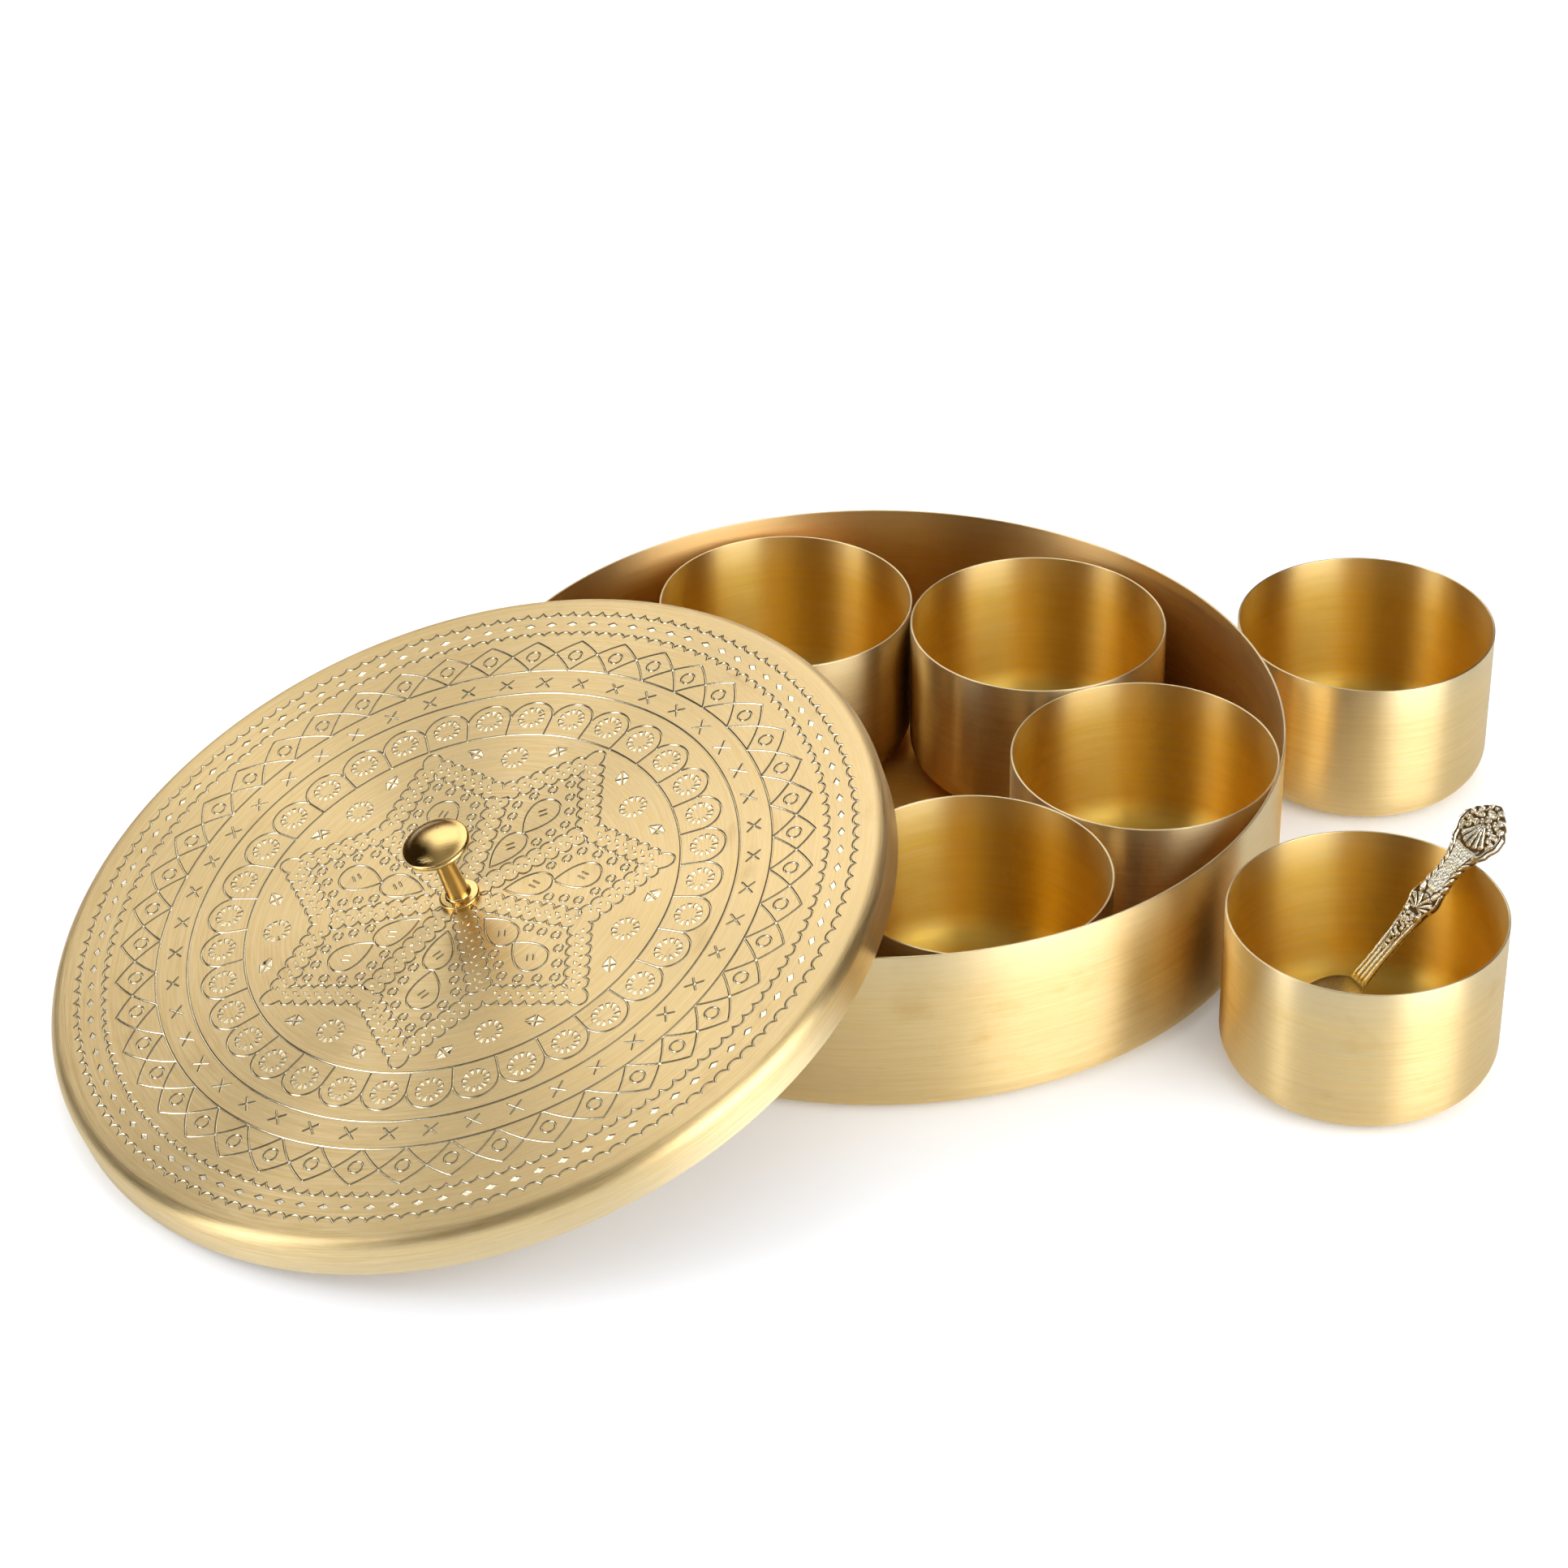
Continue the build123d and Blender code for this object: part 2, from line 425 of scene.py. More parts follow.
def new_group(
    name: str, inputs: dict[str, tuple[str, object]], outputs: dict[str, str]
) -> tuple[bpy.types.NodeTree, Nodes, bpy.types.Node, bpy.types.Node]:
    """Starts a shader node group.

    Args:
        name: the group's name.
        inputs: each input's socket type and default value, by name.
        outputs: each output's socket type, by name.

    Returns:
        The group, its wiring shorthand, and its input and output nodes.
    """
    tree = bpy.data.node_groups.new(name, "ShaderNodeTree")
    for key, (kind, value) in inputs.items():
        socket = tree.interface.new_socket(name=key, in_out="INPUT", socket_type=kind)
        if value is not None:
            socket.default_value = value
    for key, kind in outputs.items():
        tree.interface.new_socket(name=key, in_out="OUTPUT", socket_type=kind)
    nodes = Nodes(tree)
    return tree, nodes, nodes.add("NodeGroupInput"), nodes.add("NodeGroupOutput")


@dataclass(frozen=True)
class TurnedGrain:
    """The group for lines brushed round a piece: streaks that fade in and out, and their height."""

    fine_scale: Scale = (0.06, 0.06, 1.7)
    broad_scale: Scale = (0.03, 0.03, 0.7)
    fine_range: Point = (0.36, 0.64)
    broad_range: Point = (0.32, 0.68)
    fine_height: float = 0.6

    def build(self) -> bpy.types.NodeTree:
        """Builds the group."""
        tree, nodes, given, made = new_group(
            "TurnedGrain",
            {"Place": ("NodeSocketVector", None), "Contrast": ("NodeSocketFloat", 1.0)},
            {"Streak": "NodeSocketFloat", "Band": "NodeSocketFloat", "Height": "NodeSocketFloat"},
        )
        place = given.outputs["Place"]
        fine = nodes.noise(nodes.mapping(place, Scale=self.fine_scale), scale=1.0, detail=6.0, rough=0.78)
        broad = nodes.noise(nodes.mapping(place, Scale=self.broad_scale), scale=1.0, detail=3.0, rough=0.55)
        streak = nodes.spread(fine, *self.fine_range)
        nodes.fill(
            made,
            Streak=nodes.times(streak, given.outputs["Contrast"]),
            Band=nodes.spread(broad, *self.broad_range),
            Height=nodes.plus(nodes.times(streak, self.fine_height), broad),
        )
        return tree


@dataclass(frozen=True)
class Smudges:
    """The group for finger marks and tarnish: soft clouds, held back to a share of the surface."""

    clear_level: float = 0.72
    share_reach: float = 0.45
    fade: float = 0.22
    fine_scale: float = 22.0
    fine_range: Point = (0.35, 0.7)

    def build(self) -> bpy.types.NodeTree:
        """Builds the group."""
        tree, nodes, given, made = new_group(
            "Smudges",
            {
                "Place": ("NodeSocketVector", None),
                "Scale": ("NodeSocketFloat", 0.08),
                "Share": ("NodeSocketFloat", 0.4),
            },
            {"Mask": "NodeSocketFloat", "Fine": "NodeSocketFloat"},
        )
        place, scale = given.outputs["Place"], given.outputs["Scale"]
        cloud = nodes.noise(place, scale, detail=5.0, rough=0.6)
        low = nodes.minus(self.clear_level, nodes.times(given.outputs["Share"], self.share_reach))
        speck = nodes.noise(place, nodes.times(scale, self.fine_scale), detail=3.0, rough=0.6)
        nodes.fill(
            made,
            Mask=nodes.spread(cloud, low, nodes.plus(low, self.fade)),
            Fine=nodes.spread(speck, *self.fine_range),
        )
        return tree


@dataclass(frozen=True)
class BrassFinish:
    """A brass surface that is brushed round, with its tarnish, and its paler rims: partly worn edges, partly
    a painted highlight.

    Colours are linear. The tarnish share is how much of the surface it clouds. The inside colour is a painted
    reflection: a deeper orange inside, standing in for light bounced between brass walls. The ranges are of
    an engraved cut's depth, as a share of a line's: its rim, painted dark as shade, and the start of its
    floor, painted pale as a highlight.
    """

    name: str
    colour: Colour
    streak_colour: Colour
    tarnish_colour: Colour
    rim_wear_and_painted_highlight: Colour
    roughness: float
    streak_roughness: float
    anisotropy: float
    tarnish_share: float
    streak_share: float = 0.55
    band_share: float = 0.1
    grain_depth: float = 0.5
    grain_height: float = 0.03
    tarnish_strength: float = 0.8
    tarnish_roughness: float = 0.05
    speck_roughness: float = 0.02
    band_shade: float = 0.5
    cut_floor_painted_highlight: Colour | None = None
    cut_rim_painted_shade: Colour = (0.10, 0.05, 0.015)
    cut_floor_highlight_share: float = 0.95
    cut_rim_shade_share: float = 0.85
    cut_shine: float = 0.16
    rim_range: Point = (0.0, 0.15)
    floor_range: Point = (0.35, 0.55)
    inside_painted_reflection: Colour | None = None
    inside_reflection_share: float = 0.95
    inside_reflection_streaks: float = 0.5

    def build(self, grain: bpy.types.NodeTree, smudges: bpy.types.NodeTree) -> bpy.types.Material:
        """Builds the material.

        Args:
            grain: the group for brushed lines.
            smudges: the group for finger marks and tarnish.

        Returns:
            The material.
        """
        material, nodes, shader = new_material(self.name)
        place = nodes.attribute(PLACE_ATTRIBUTE, "Vector")
        lines = nodes.group(grain, Place=place).outputs
        clouds = nodes.group(smudges, Place=place, Share=self.tarnish_share).outputs
        streaks = nodes.times(lines["Streak"], self.streak_share)
        colour = nodes.mix(streaks, self.colour, self.streak_colour)
        clouded = nodes.times(nodes.times(clouds["Mask"], lines["Band"]), self.tarnish_strength)
        colour = nodes.mix(clouded, colour, self.tarnish_colour)
        # Deeper orange inside: painted reflection, standing in for light bounced between the brass walls
        if self.inside_painted_reflection is not None:
            share = nodes.minus(self.inside_reflection_share, nodes.times(streaks, self.inside_reflection_streaks))
            share = nodes.times(nodes.attribute(INSIDE_ATTRIBUTE), share)
            colour = nodes.mix(share, colour, self.inside_painted_reflection)
        banded = nodes.times(lines["Band"], self.band_share)
        colour = nodes.mix(banded, colour, nodes.mix(self.band_shade, colour, BLACK))
        # Paler at the rims: partly worn edges, partly a painted highlight
        colour = nodes.mix(nodes.attribute(WEAR_AND_PAINTED_LIGHT_ATTRIBUTE), colour, self.rim_wear_and_painted_highlight)
        rough = nodes.plus(nodes.times(lines["Streak"], self.streak_roughness), self.roughness)
        rough = nodes.plus(rough, nodes.times(clouds["Mask"], self.tarnish_roughness))
        rough = nodes.plus(rough, nodes.times(clouds["Fine"], self.speck_roughness))
        brushed = self.anisotropy
        # In the engraved cuts: the rim is painted dark as shade and the floor painted pale as a highlight
        if self.cut_floor_painted_highlight is not None:
            depth = nodes.attribute(CUT_ATTRIBUTE)
            rim = nodes.times(nodes.spread(depth, *self.rim_range), self.cut_rim_shade_share)
            colour = nodes.mix(rim, colour, self.cut_rim_painted_shade)
            cut = nodes.spread(depth, *self.floor_range)
            colour = nodes.mix(nodes.times(cut, self.cut_floor_highlight_share), colour, self.cut_floor_painted_highlight)
            rough = nodes.minus(rough, nodes.times(cut, self.cut_shine))
            brushed = nodes.times(nodes.minus(1.0, cut), self.anisotropy)
        nodes.fill(
            shader,
            Base_Color=colour,
            Roughness=rough,
            Normal=nodes.bump(lines["Height"], self.grain_height, self.grain_depth),
            Tangent=nodes.attribute(ACROSS_ATTRIBUTE, "Vector"),
            Metallic=1.0,
            Anisotropic=brushed,
        )
        return material


@dataclass(frozen=True)
class PolishedFinish:
    """A polished metal with a little haze, used where nothing is brushed."""

    name: str
    colour: Colour
    haze_colour: Colour
    roughness: float
    haze_roughness: float
    haze_share: float
    pattern_scale: float
    unevenness: float = 0.0
    uneven_height: float = 0.05

    def build(self, smudges: bpy.types.NodeTree) -> bpy.types.Material:
        """Builds the material on Object coordinates.

        Args:
            smudges: the group for finger marks and tarnish.

        Returns:
            The material.
        """
        material, nodes, shader = new_material(self.name)
        place = nodes.mapping(nodes.object_place(), Scale=(self.pattern_scale,) * 3)
        clouds = nodes.group(smudges, Place=place, Share=self.haze_share).outputs
        nodes.fill(
            shader,
            Base_Color=nodes.mix(clouds["Mask"], self.colour, self.haze_colour),
            Roughness=nodes.plus(nodes.times(clouds["Fine"], self.haze_roughness), self.roughness),
            Normal=nodes.bump(clouds["Fine"], self.uneven_height, self.unevenness),
            Metallic=1.0,
        )
        return material


@dataclass(frozen=True)
class AntiqueFinish:
    """A cast metal that is bright on its high places and dark in its hollows."""

    name: str
    colour: Colour
    hollow_colour: Colour
    warm_colour: Colour
    roughness: float
    hollow_roughness: float
    cloud_scale: float = 0.25
    cloud_share: float = 0.5
    speck_share: float = 0.15
    worn_range: Point = (0.22, 0.62)
    cast_height: float = 0.05
    cast_strength: float = 0.4

    def build(self, smudges: bpy.types.NodeTree) -> bpy.types.Material:
        """Builds the material.

        Args:
            smudges: the group for finger marks and tarnish.

        Returns:
            The material.
        """
        material, nodes, shader = new_material(self.name)
        place = nodes.mapping(nodes.object_place(), Scale=PER_METRE)
        clouds = nodes.group(smudges, Place=place, Scale=self.cloud_scale, Share=self.cloud_share).outputs
        high = nodes.plus(nodes.attribute(WEAR_AND_PAINTED_LIGHT_ATTRIBUTE), nodes.times(clouds["Fine"], self.speck_share))
        high = nodes.spread(high, *self.worn_range)
        bright = nodes.mix(clouds["Mask"], self.colour, self.warm_colour)
        dull = nodes.times(nodes.minus(1.0, high), self.hollow_roughness)
        nodes.fill(
            shader,
            Base_Color=nodes.mix(high, self.hollow_colour, bright),
            Roughness=nodes.plus(dull, self.roughness),
            Normal=nodes.bump(clouds["Fine"], self.cast_height, self.cast_strength),
            Metallic=1.0,
        )
        return material


# The set's metals
BOX_FINISH = BrassFinish(
    name="brushed brass of the box",
    colour=(0.89, 0.64, 0.27),
    streak_colour=(0.98, 0.81, 0.47),
    tarnish_colour=(0.80, 0.53, 0.19),
    rim_wear_and_painted_highlight=(0.92, 0.78, 0.50),
    roughness=0.36,
    streak_roughness=0.06,
    anisotropy=0.95,
    tarnish_share=0.4,
    inside_painted_reflection=(0.95, 0.49, 0.07),
)
BOWL_FINISH = replace(
    BOX_FINISH,
    name="brushed brass of the bowls",
    rim_wear_and_painted_highlight=(0.94, 0.80, 0.52),
    roughness=0.35,
    tarnish_share=0.35,
    inside_painted_reflection=(1.0, 0.70, 0.12),
)
LID_FINISH = BrassFinish(
    name="engraved brass of the lid",
    colour=(0.81, 0.595, 0.265),
    streak_colour=(0.99, 0.795, 0.46),
    tarnish_colour=(0.74, 0.53, 0.25),
    rim_wear_and_painted_highlight=(0.92, 0.80, 0.54),
    cut_floor_painted_highlight=(1.0, 0.94, 0.74),
    roughness=0.32,
    streak_roughness=0.1,
    anisotropy=0.9,
    tarnish_share=0.3,
    streak_share=0.9,
    grain_depth=0.8,
)
KNOB_FINISH = PolishedFinish(
    name="polished brass of the knob",
    colour=(0.84, 0.60, 0.24),
    haze_colour=(0.74, 0.50, 0.18),
    roughness=0.05,
    haze_roughness=0.06,
    haze_share=0.3,
    pattern_scale=2000.0,
    unevenness=0.35,
)
SPOON_FINISH = AntiqueFinish(
    name="antique brass of the spoon",
    colour=(0.99, 0.93, 0.77),
    hollow_colour=(0.18, 0.11, 0.045),
    warm_colour=(0.95, 0.82, 0.52),
    roughness=0.25,
    hollow_roughness=0.35,
)
SCREW_FINISH = PolishedFinish(
    name="plated steel of the screw",
    colour=(0.62, 0.58, 0.50),
    haze_colour=(0.45, 0.40, 0.33),
    roughness=0.18,
    haze_roughness=0.15,
    haze_share=0.4,
    pattern_scale=4000.0,
)


# The engraving


def polar(radius: float, degrees: float) -> Point:
    """A point by its radius and direction."""
    turn = math.radians(degrees)
    return radius * math.cos(turn), radius * math.sin(turn)


def between(start: Point, end: Point, share: float) -> Point:
    """The point at a share of the way from start to end."""
    return start[0] + (end[0] - start[0]) * share, start[1] + (end[1] - start[1]) * share


def heading(start: Point, end: Point) -> Point:
    """The unit vector from start to end."""
    length = math.dist(start, end)
    return (end[0] - start[0]) / length, (end[1] - start[1]) / length


def beside(point: Point, ahead: Point, along: float, left: float) -> Point:
    """The point that lies along and to the left of another, looking ahead."""
    return point[0] + ahead[0] * along - ahead[1] * left, point[1] + ahead[1] * along + ahead[0] * left


def crossing(first: tuple[Point, Point], second: tuple[Point, Point]) -> Point:
    """Where two lines cross, each given by two of its points."""
    (ax, ay), (bx, by) = first
    (cx, cy), (dx, dy) = second
    across = (bx - ax) * (dy - cy) - (by - ay) * (dx - cx)
    share = ((cx - ax) * (dy - cy) - (cy - ay) * (dx - cx)) / across
    return between(first[0], first[1], share)


# A stroke's corners: the least cosine that widens them, and the least bisector that they are cut along
MITRE_LIMIT = 0.55
SHARP_TURN = 0.2


@dataclass(frozen=True)
class Stroke:
    """One engraved line: the points of its middle, and how wide and deep its V is cut."""

    points: list[Point]
    closed: bool
    width: float
    depth: float

    def sides(self) -> list[list[Point]]:
        """The cut's edges, each a closed line: one round an open stroke, two beside a closed one."""
        half = self.width / 2
        count = len(self.points)
        lefts, rights = [], []
        for index, point in enumerate(self.points):
            before = self.points[index - 1] if index or self.closed else None
            after = self.points[(index + 1) % count] if index + 1 < count or self.closed else None
            ahead_in = heading(before, point) if before else heading(point, after)
            ahead_out = heading(point, after) if after else ahead_in
            middle = (ahead_in[0] + ahead_out[0], ahead_in[1] + ahead_out[1])
            length = math.hypot(*middle)
            share = max(length / 2, MITRE_LIMIT)
            ahead = (middle[0] / length, middle[1] / length) if length > SHARP_TURN else ahead_in
            lefts.append(beside(point, ahead, 0.0, half / share))
            rights.append(beside(point, ahead, 0.0, -half / share))
        if self.closed:
            return [lefts, rights]
        first = beside(self.points[0], heading(self.points[1], self.points[0]), half, 0.0)
        last = beside(self.points[-1], heading(self.points[-2], self.points[-1]), half, 0.0)
        return [[first] + rights + [last] + lefts[::-1]]


@dataclass(frozen=True)
class Punch:
    """One punched mark: its outline, and how deep its flat bottom is struck."""

    outline: list[Point]
    depth: float

    def bottom(self, share: float) -> list[Point]:
        """The outline drawn in to a share of its size, where the mark is flat again."""
        count = len(self.outline)
        middle = sum(x for x, _ in self.outline) / count, sum(y for _, y in self.outline) / count
        return [between(middle, corner, share) for corner in self.outline]


@dataclass
class Engraving:
    """The lid's pattern, in millimetres round the middle of its top: rings, lattice, arches and star."""

    line_width: float = 0.6
    line_depth: float = 0.22
    punch_depth: float = 0.22
    hand_slip: float = 0.05
    turn_slip: float = 60.0
    depth_slip: float = 3.0
    size_slip: float = 2.0
    scallops: int = 150
    outer_cusps: float = 95.3
    inner_cusps: float = 87.3
    scallop_rise: float = 1.2
    scallop_power: float = 0.7
    scallop_steps: int = 6
    lozenge: Point = (0.85, 1.5)
    lozenges: int = 103
    lozenge_ring: float = 91.25
    lattice_cells: int = 45
    lattice_start: float = 1.07
    lattice_top: float = 85.1
    lattice_foot: float = 75.0
    lattice_bow: float = 0.75
    lattice_circle: float = 1.65
    lattice_circle_ring: float = 80.1
    lattice_steps: int = 12
    lattice_circle_steps: int = 14
    cross_ring: float = 70.7
    cross_start: float = 5.0
    cross_reach: float = 2.15
    cross_lean: float = 45.0
    cross_parts: tuple[float, ...] = (-1.0, -0.33, 0.33, 1.0)
    ring_lines: tuple[float, ...] = (75.0, 67.2, 53.1)
    ring_steps: int = 420
    arches: int = 34
    arch_start: float = 9.1
    arch_ring: float = 58.75
    arch_foot: float = 53.1
    crown_steps: int = 20
    leg_steps: int = 6
    wedges: int = 12
    wedge_inside: float = 1.85
    wedge_outside: float = 3.4
    wedge_ends: Point = (0.12, 0.62)
    arms: int = 7
    first_arm: float = 41.2
    star_tip: float = 51.0
    star_notch: float = 35.4
    edge_scallops: int = 6
    edge_pitch: float = 3.45
    edge_rise: float = 1.15
    tip_loop: float = 3.8
    tip_rise: float = 0.8
    tip_power: float = 0.8
    tip_steps: int = 12
    band: float = 3.8
    tooth_pitch: float = 1.385
    tooth_width: float = 1.3
    tooth_height: float = 1.15
    tooth_shift: float = 0.45
    edge_teeth: Point = (1.2, 3.0)
    ray_teeth: Point = (5.6, 2.2)
    arm_circle: float = 1.08
    arm_circle_steps: int = 10
    arm_circles: tuple[Point, ...] = (
        (39.8, 0.0),
        (36.7, 4.45),
        (33.5, 10.2),
        (30.1, 15.2),
        (26.3, 14.1),
        (22.3, 13.2),
    )
    drops: tuple[tuple[float, float, float], ...] = ((22.6, 34.2, 3.9), (10.6, 22.4, 3.5))
    drop_power: float = 0.9
    drop_steps: int = 44
    drop_bars: tuple[float, float, float] = (1.9, 1.45, -40.0)
    drop_bars_at: float = 0.62
    notch_rosette: float = 45.3
    floret_ring: float = 48.1
    floret_turn: float = 12.9
    floret_reach: Point = (2.45, 1.6)
    floret_gap: float = 0.18
    seed: int = 11
    strokes: list[Stroke] = field(default_factory=list)
    punches: list[Punch] = field(default_factory=list)

    def slip(self) -> float:
        """A small slip of the engraver's hand."""
        return self.hand.uniform(-self.hand_slip, self.hand_slip)

    def cut(self, points: list[Point], closed: bool = False) -> None:
        """Engraves a line."""
        self.strokes.append(Stroke(points, closed, self.line_width, self.line_depth))

    def ring(self, centre: Point, radius: float, steps: int) -> None:
        """Engraves a circle."""
        x, y = centre
        self.cut([(x + p[0], y + p[1]) for p in (polar(radius, 360 * i / steps) for i in range(steps))], True)

    def scalloped(self, cusps: list[Point], rise: float) -> list[Point]:
        """A line of arcs from cusp to cusp.

        Args:
            cusps: the points where the arcs meet.
            rise: how far the arcs bulge to the left.

        Returns:
            The line's points, without the last cusp.
        """
        points = []
        for start, end in zip(cusps, cusps[1:]):
            ahead = heading(start, end)
            swell = rise * (1.0 + self.size_slip * self.slip())
            for step in range(self.scallop_steps):
                share = step / self.scallop_steps
                bow = swell * (4.0 * share * (1.0 - share)) ** self.scallop_power
                points.append(beside(between(start, end, share), ahead, 0.0, bow))
        return points

    def strike(self, outline: list[Point], centre: Point, degrees: float) -> None:
        """Punches a mark.

        Args:
            outline: the mark's outline round its own middle.
            centre: where the mark is struck.
            degrees: how far it is turned.
        """
        degrees += self.turn_slip * self.slip()
        cosine, sine = math.cos(math.radians(degrees)), math.sin(math.radians(degrees))
        x, y = centre[0] + self.slip(), centre[1] + self.slip()
        points = [(x + px * cosine - py * sine, y + px * sine + py * cosine) for px, py in outline]
        self.punches.append(Punch(points, self.punch_depth * (1.0 + self.depth_slip * self.slip())))

    def draw_borders(self) -> None:
        """The two scalloped lines by the rim and the row of small lozenges between them."""
        for radius, rise, shift in ((self.outer_cusps, 1.0, 0.0), (self.inner_cusps, -1.0, 0.5)):
            step = 360.0 / self.scallops
            cusps = [polar(radius + self.slip(), step * (index + shift)) for index in range(self.scallops)]
            self.cut(self.scalloped(cusps + cusps[:1], rise * self.scallop_rise), True)
        out, along = self.lozenge
        lozenge = [(out, 0.0), (0.0, along), (-out, 0.0), (0.0, -along)]
        for index in range(self.lozenges):
            turn = 360.0 * index / self.lozenges
            self.strike(lozenge, polar(self.lozenge_ring, turn), turn)

    def draw_lattice(self) -> None:
        """The ring of crossing lines with a circle in each cell, and the ring of crosses inside it."""
        step = 360.0 / self.lattice_cells
        for index in range(self.lattice_cells):
            start = self.lattice_start + step * index
            for ends in ((self.lattice_top, self.lattice_foot), (self.lattice_foot, self.lattice_top)):
                points = []
                for share in (part / self.lattice_steps for part in range(self.lattice_steps + 1)):
                    bow = self.lattice_bow * 4 * share * (1 - share)
                    points.append(polar(ends[0] + (ends[1] - ends[0]) * share + bow, start + step * share))
                self.cut(points)
            self.ring(polar(self.lattice_circle_ring, start), self.lattice_circle, self.lattice_circle_steps)
            middle = polar(self.cross_ring + 2 * self.slip(), self.cross_start + step * index + self.slip())
            for degrees in (self.cross_lean, -self.cross_lean):
                turn = self.cross_start + step * index + degrees + self.turn_slip * self.slip()
                reach = self.cross_reach * (1.0 + self.size_slip * self.slip())
                ahead = polar(1.0, turn)
                self.cut([beside(middle, ahead, along * reach, 0.0) for along in self.cross_parts])
        for radius in self.ring_lines:
            self.ring((0.0, 0.0), radius, self.ring_steps)

    def rosette(self, centre: Point, degrees: float) -> None:
        """Punches a ring of wedges."""
        length = (self.wedge_outside - self.wedge_inside) / 2
        narrow, wide = self.wedge_ends
        wedge = [(-length, -narrow), (length, -wide), (length, wide), (-length, narrow)]
        for index in range(self.wedges):
            turn = degrees + 360.0 * (index + 0.5) / self.wedges
            out = polar((self.wedge_inside + self.wedge_outside) / 2, turn)
            self.strike(wedge, (centre[0] + out[0], centre[1] + out[1]), turn)

    def draw_arches(self) -> None:
        """The arcade of round arches with a rosette in each."""
        half = 180.0 / self.arches
        radius = self.arch_ring * math.sin(math.radians(half))
        for index in range(self.arches):
            turn = self.arch_start + 2.0 * half * index
            middle = polar(self.arch_ring * math.cos(math.radians(half)), turn)
            crown = arc((0.0, 0.0), radius, 90.0, -90.0, self.crown_steps)
            self.cut([beside(middle, polar(1.0, turn), *point) for point in crown])
            parts = (part / self.leg_steps for part in range(self.leg_steps + 1))
            leg = [self.arch_foot + (self.arch_ring - self.arch_foot) * part for part in parts]
            self.cut([polar(reach, turn + half) for reach in leg])
            self.rosette(polar(self.arch_ring, turn), turn)

    def teeth(self, start: Point, end: Point) -> None:
        """Punches a row of triangles that point to either side in turn, on the line from start to end."""
        ahead = heading(start, end)
        count = int(math.dist(start, end) / self.tooth_pitch)
        turn = math.degrees(math.atan2(ahead[1], ahead[0]))
        side = self.tooth_height / 2
        tooth = [(-self.tooth_width / 2, side), (0.0, -side), (self.tooth_width / 2, side)]
        spare = (math.dist(start, end) - (count - 1) * self.tooth_pitch) / 2
        for index in range(count):
            over = index % 2
            centre = beside(start, ahead, spare + index * self.tooth_pitch, (1 - 2 * over) * self.tooth_shift)
            self.strike(tooth, centre, turn + 180.0 * over)

    def draw_arm(self, axis: float) -> None:
        """One arm of the star: its cell line, its rows of teeth, its circles and its two drops.

        Args:
            axis: the arm's direction.
        """
        half = 180.0 / self.arms
        tip = polar(self.star_tip, axis)
        rays, edges = {}, {}
        for side in (-1.0, 1.0):
            ray = polar(1.0, axis + side * half)
            notch = polar(self.star_notch, axis + side * half)
            rays[side] = (beside((0.0, 0.0), ray, 0.0, -side * self.band / 2), ray)
            ahead = heading(notch, tip)
            edges[side] = (beside(notch, ahead, 0.0, -side * self.band), ahead)
            first, last = self.edge_teeth
            inset = -side * self.band / 2
            self.teeth(beside(notch, ahead, first, inset), beside(tip, ahead, -last, inset))
        lines = {
            key: {side: (start, beside(start, ahead, 1.0, 0.0)) for side, (start, ahead) in rows.items()}
            for key, rows in (("ray", rays), ("edge", edges))
        }
        corners = [
            crossing(lines["ray"][-1.0], lines["ray"][1.0]),
            crossing(lines["ray"][-1.0], lines["edge"][-1.0]),
            crossing(lines["edge"][-1.0], lines["edge"][1.0]),
            crossing(lines["edge"][1.0], lines["ray"][1.0]),
        ]
        cell = []
        for start, end in zip(corners, corners[1:] + corners[:1]):
            count = round(math.dist(start, end) / self.edge_pitch)
            cusps = [between(start, end, part / count) for part in range(count + 1)]
            cell += self.scalloped(cusps, self.edge_rise)
        self.cut(cell, True)
        first, last = self.ray_teeth
        self.teeth(polar(first, axis + half), polar(self.star_notch - last, axis + half))
        for radius, turn in self.arm_circles:
            for side in (-1.0, 1.0) if turn else (1.0,):
                x, y = polar(radius, axis + side * turn)
                middle = (x + self.slip(), y + self.slip())
                self.ring(middle, self.arm_circle * (1.0 + self.slip()), self.arm_circle_steps)
        for point, end, half_width in self.drops:
            self.draw_drop(axis, point, end, half_width)

    def draw_drop(self, axis: float, point: float, end: float, half_width: float) -> None:
        """A drop on an arm's axis, with two short bars in it.

        Args:
            axis: the arm's direction.
            point: the radius of the drop's point.
            end: the radius of its round end.
            half_width: half its width.
        """
        ahead = polar(1.0, axis)
        turns = [2.0 * math.pi * part / self.drop_steps for part in range(self.drop_steps)]
        sides = [math.sin(turn) * math.sin(turn / 2) ** self.drop_power for turn in turns]
        shape = [(0.5 - 0.5 * math.cos(turn), side) for turn, side in zip(turns, sides)]
        widest = max(sides)
        outline = [
            beside((0.0, 0.0), ahead, point + (end - point) * along, half_width * side / widest)
            for along, side in shape
        ]
        self.cut(outline, True)
        length, apart, lean = self.drop_bars
        middle = polar(point + self.drop_bars_at * (end - point), axis)
        bar = polar(1.0, axis + lean)
        for side in (-0.5, 0.5):
            centre = beside(middle, bar, 0.0, side * apart)
            self.cut([beside(centre, bar, share * length, 0.0) for share in (-0.5, 0.0, 0.5)])

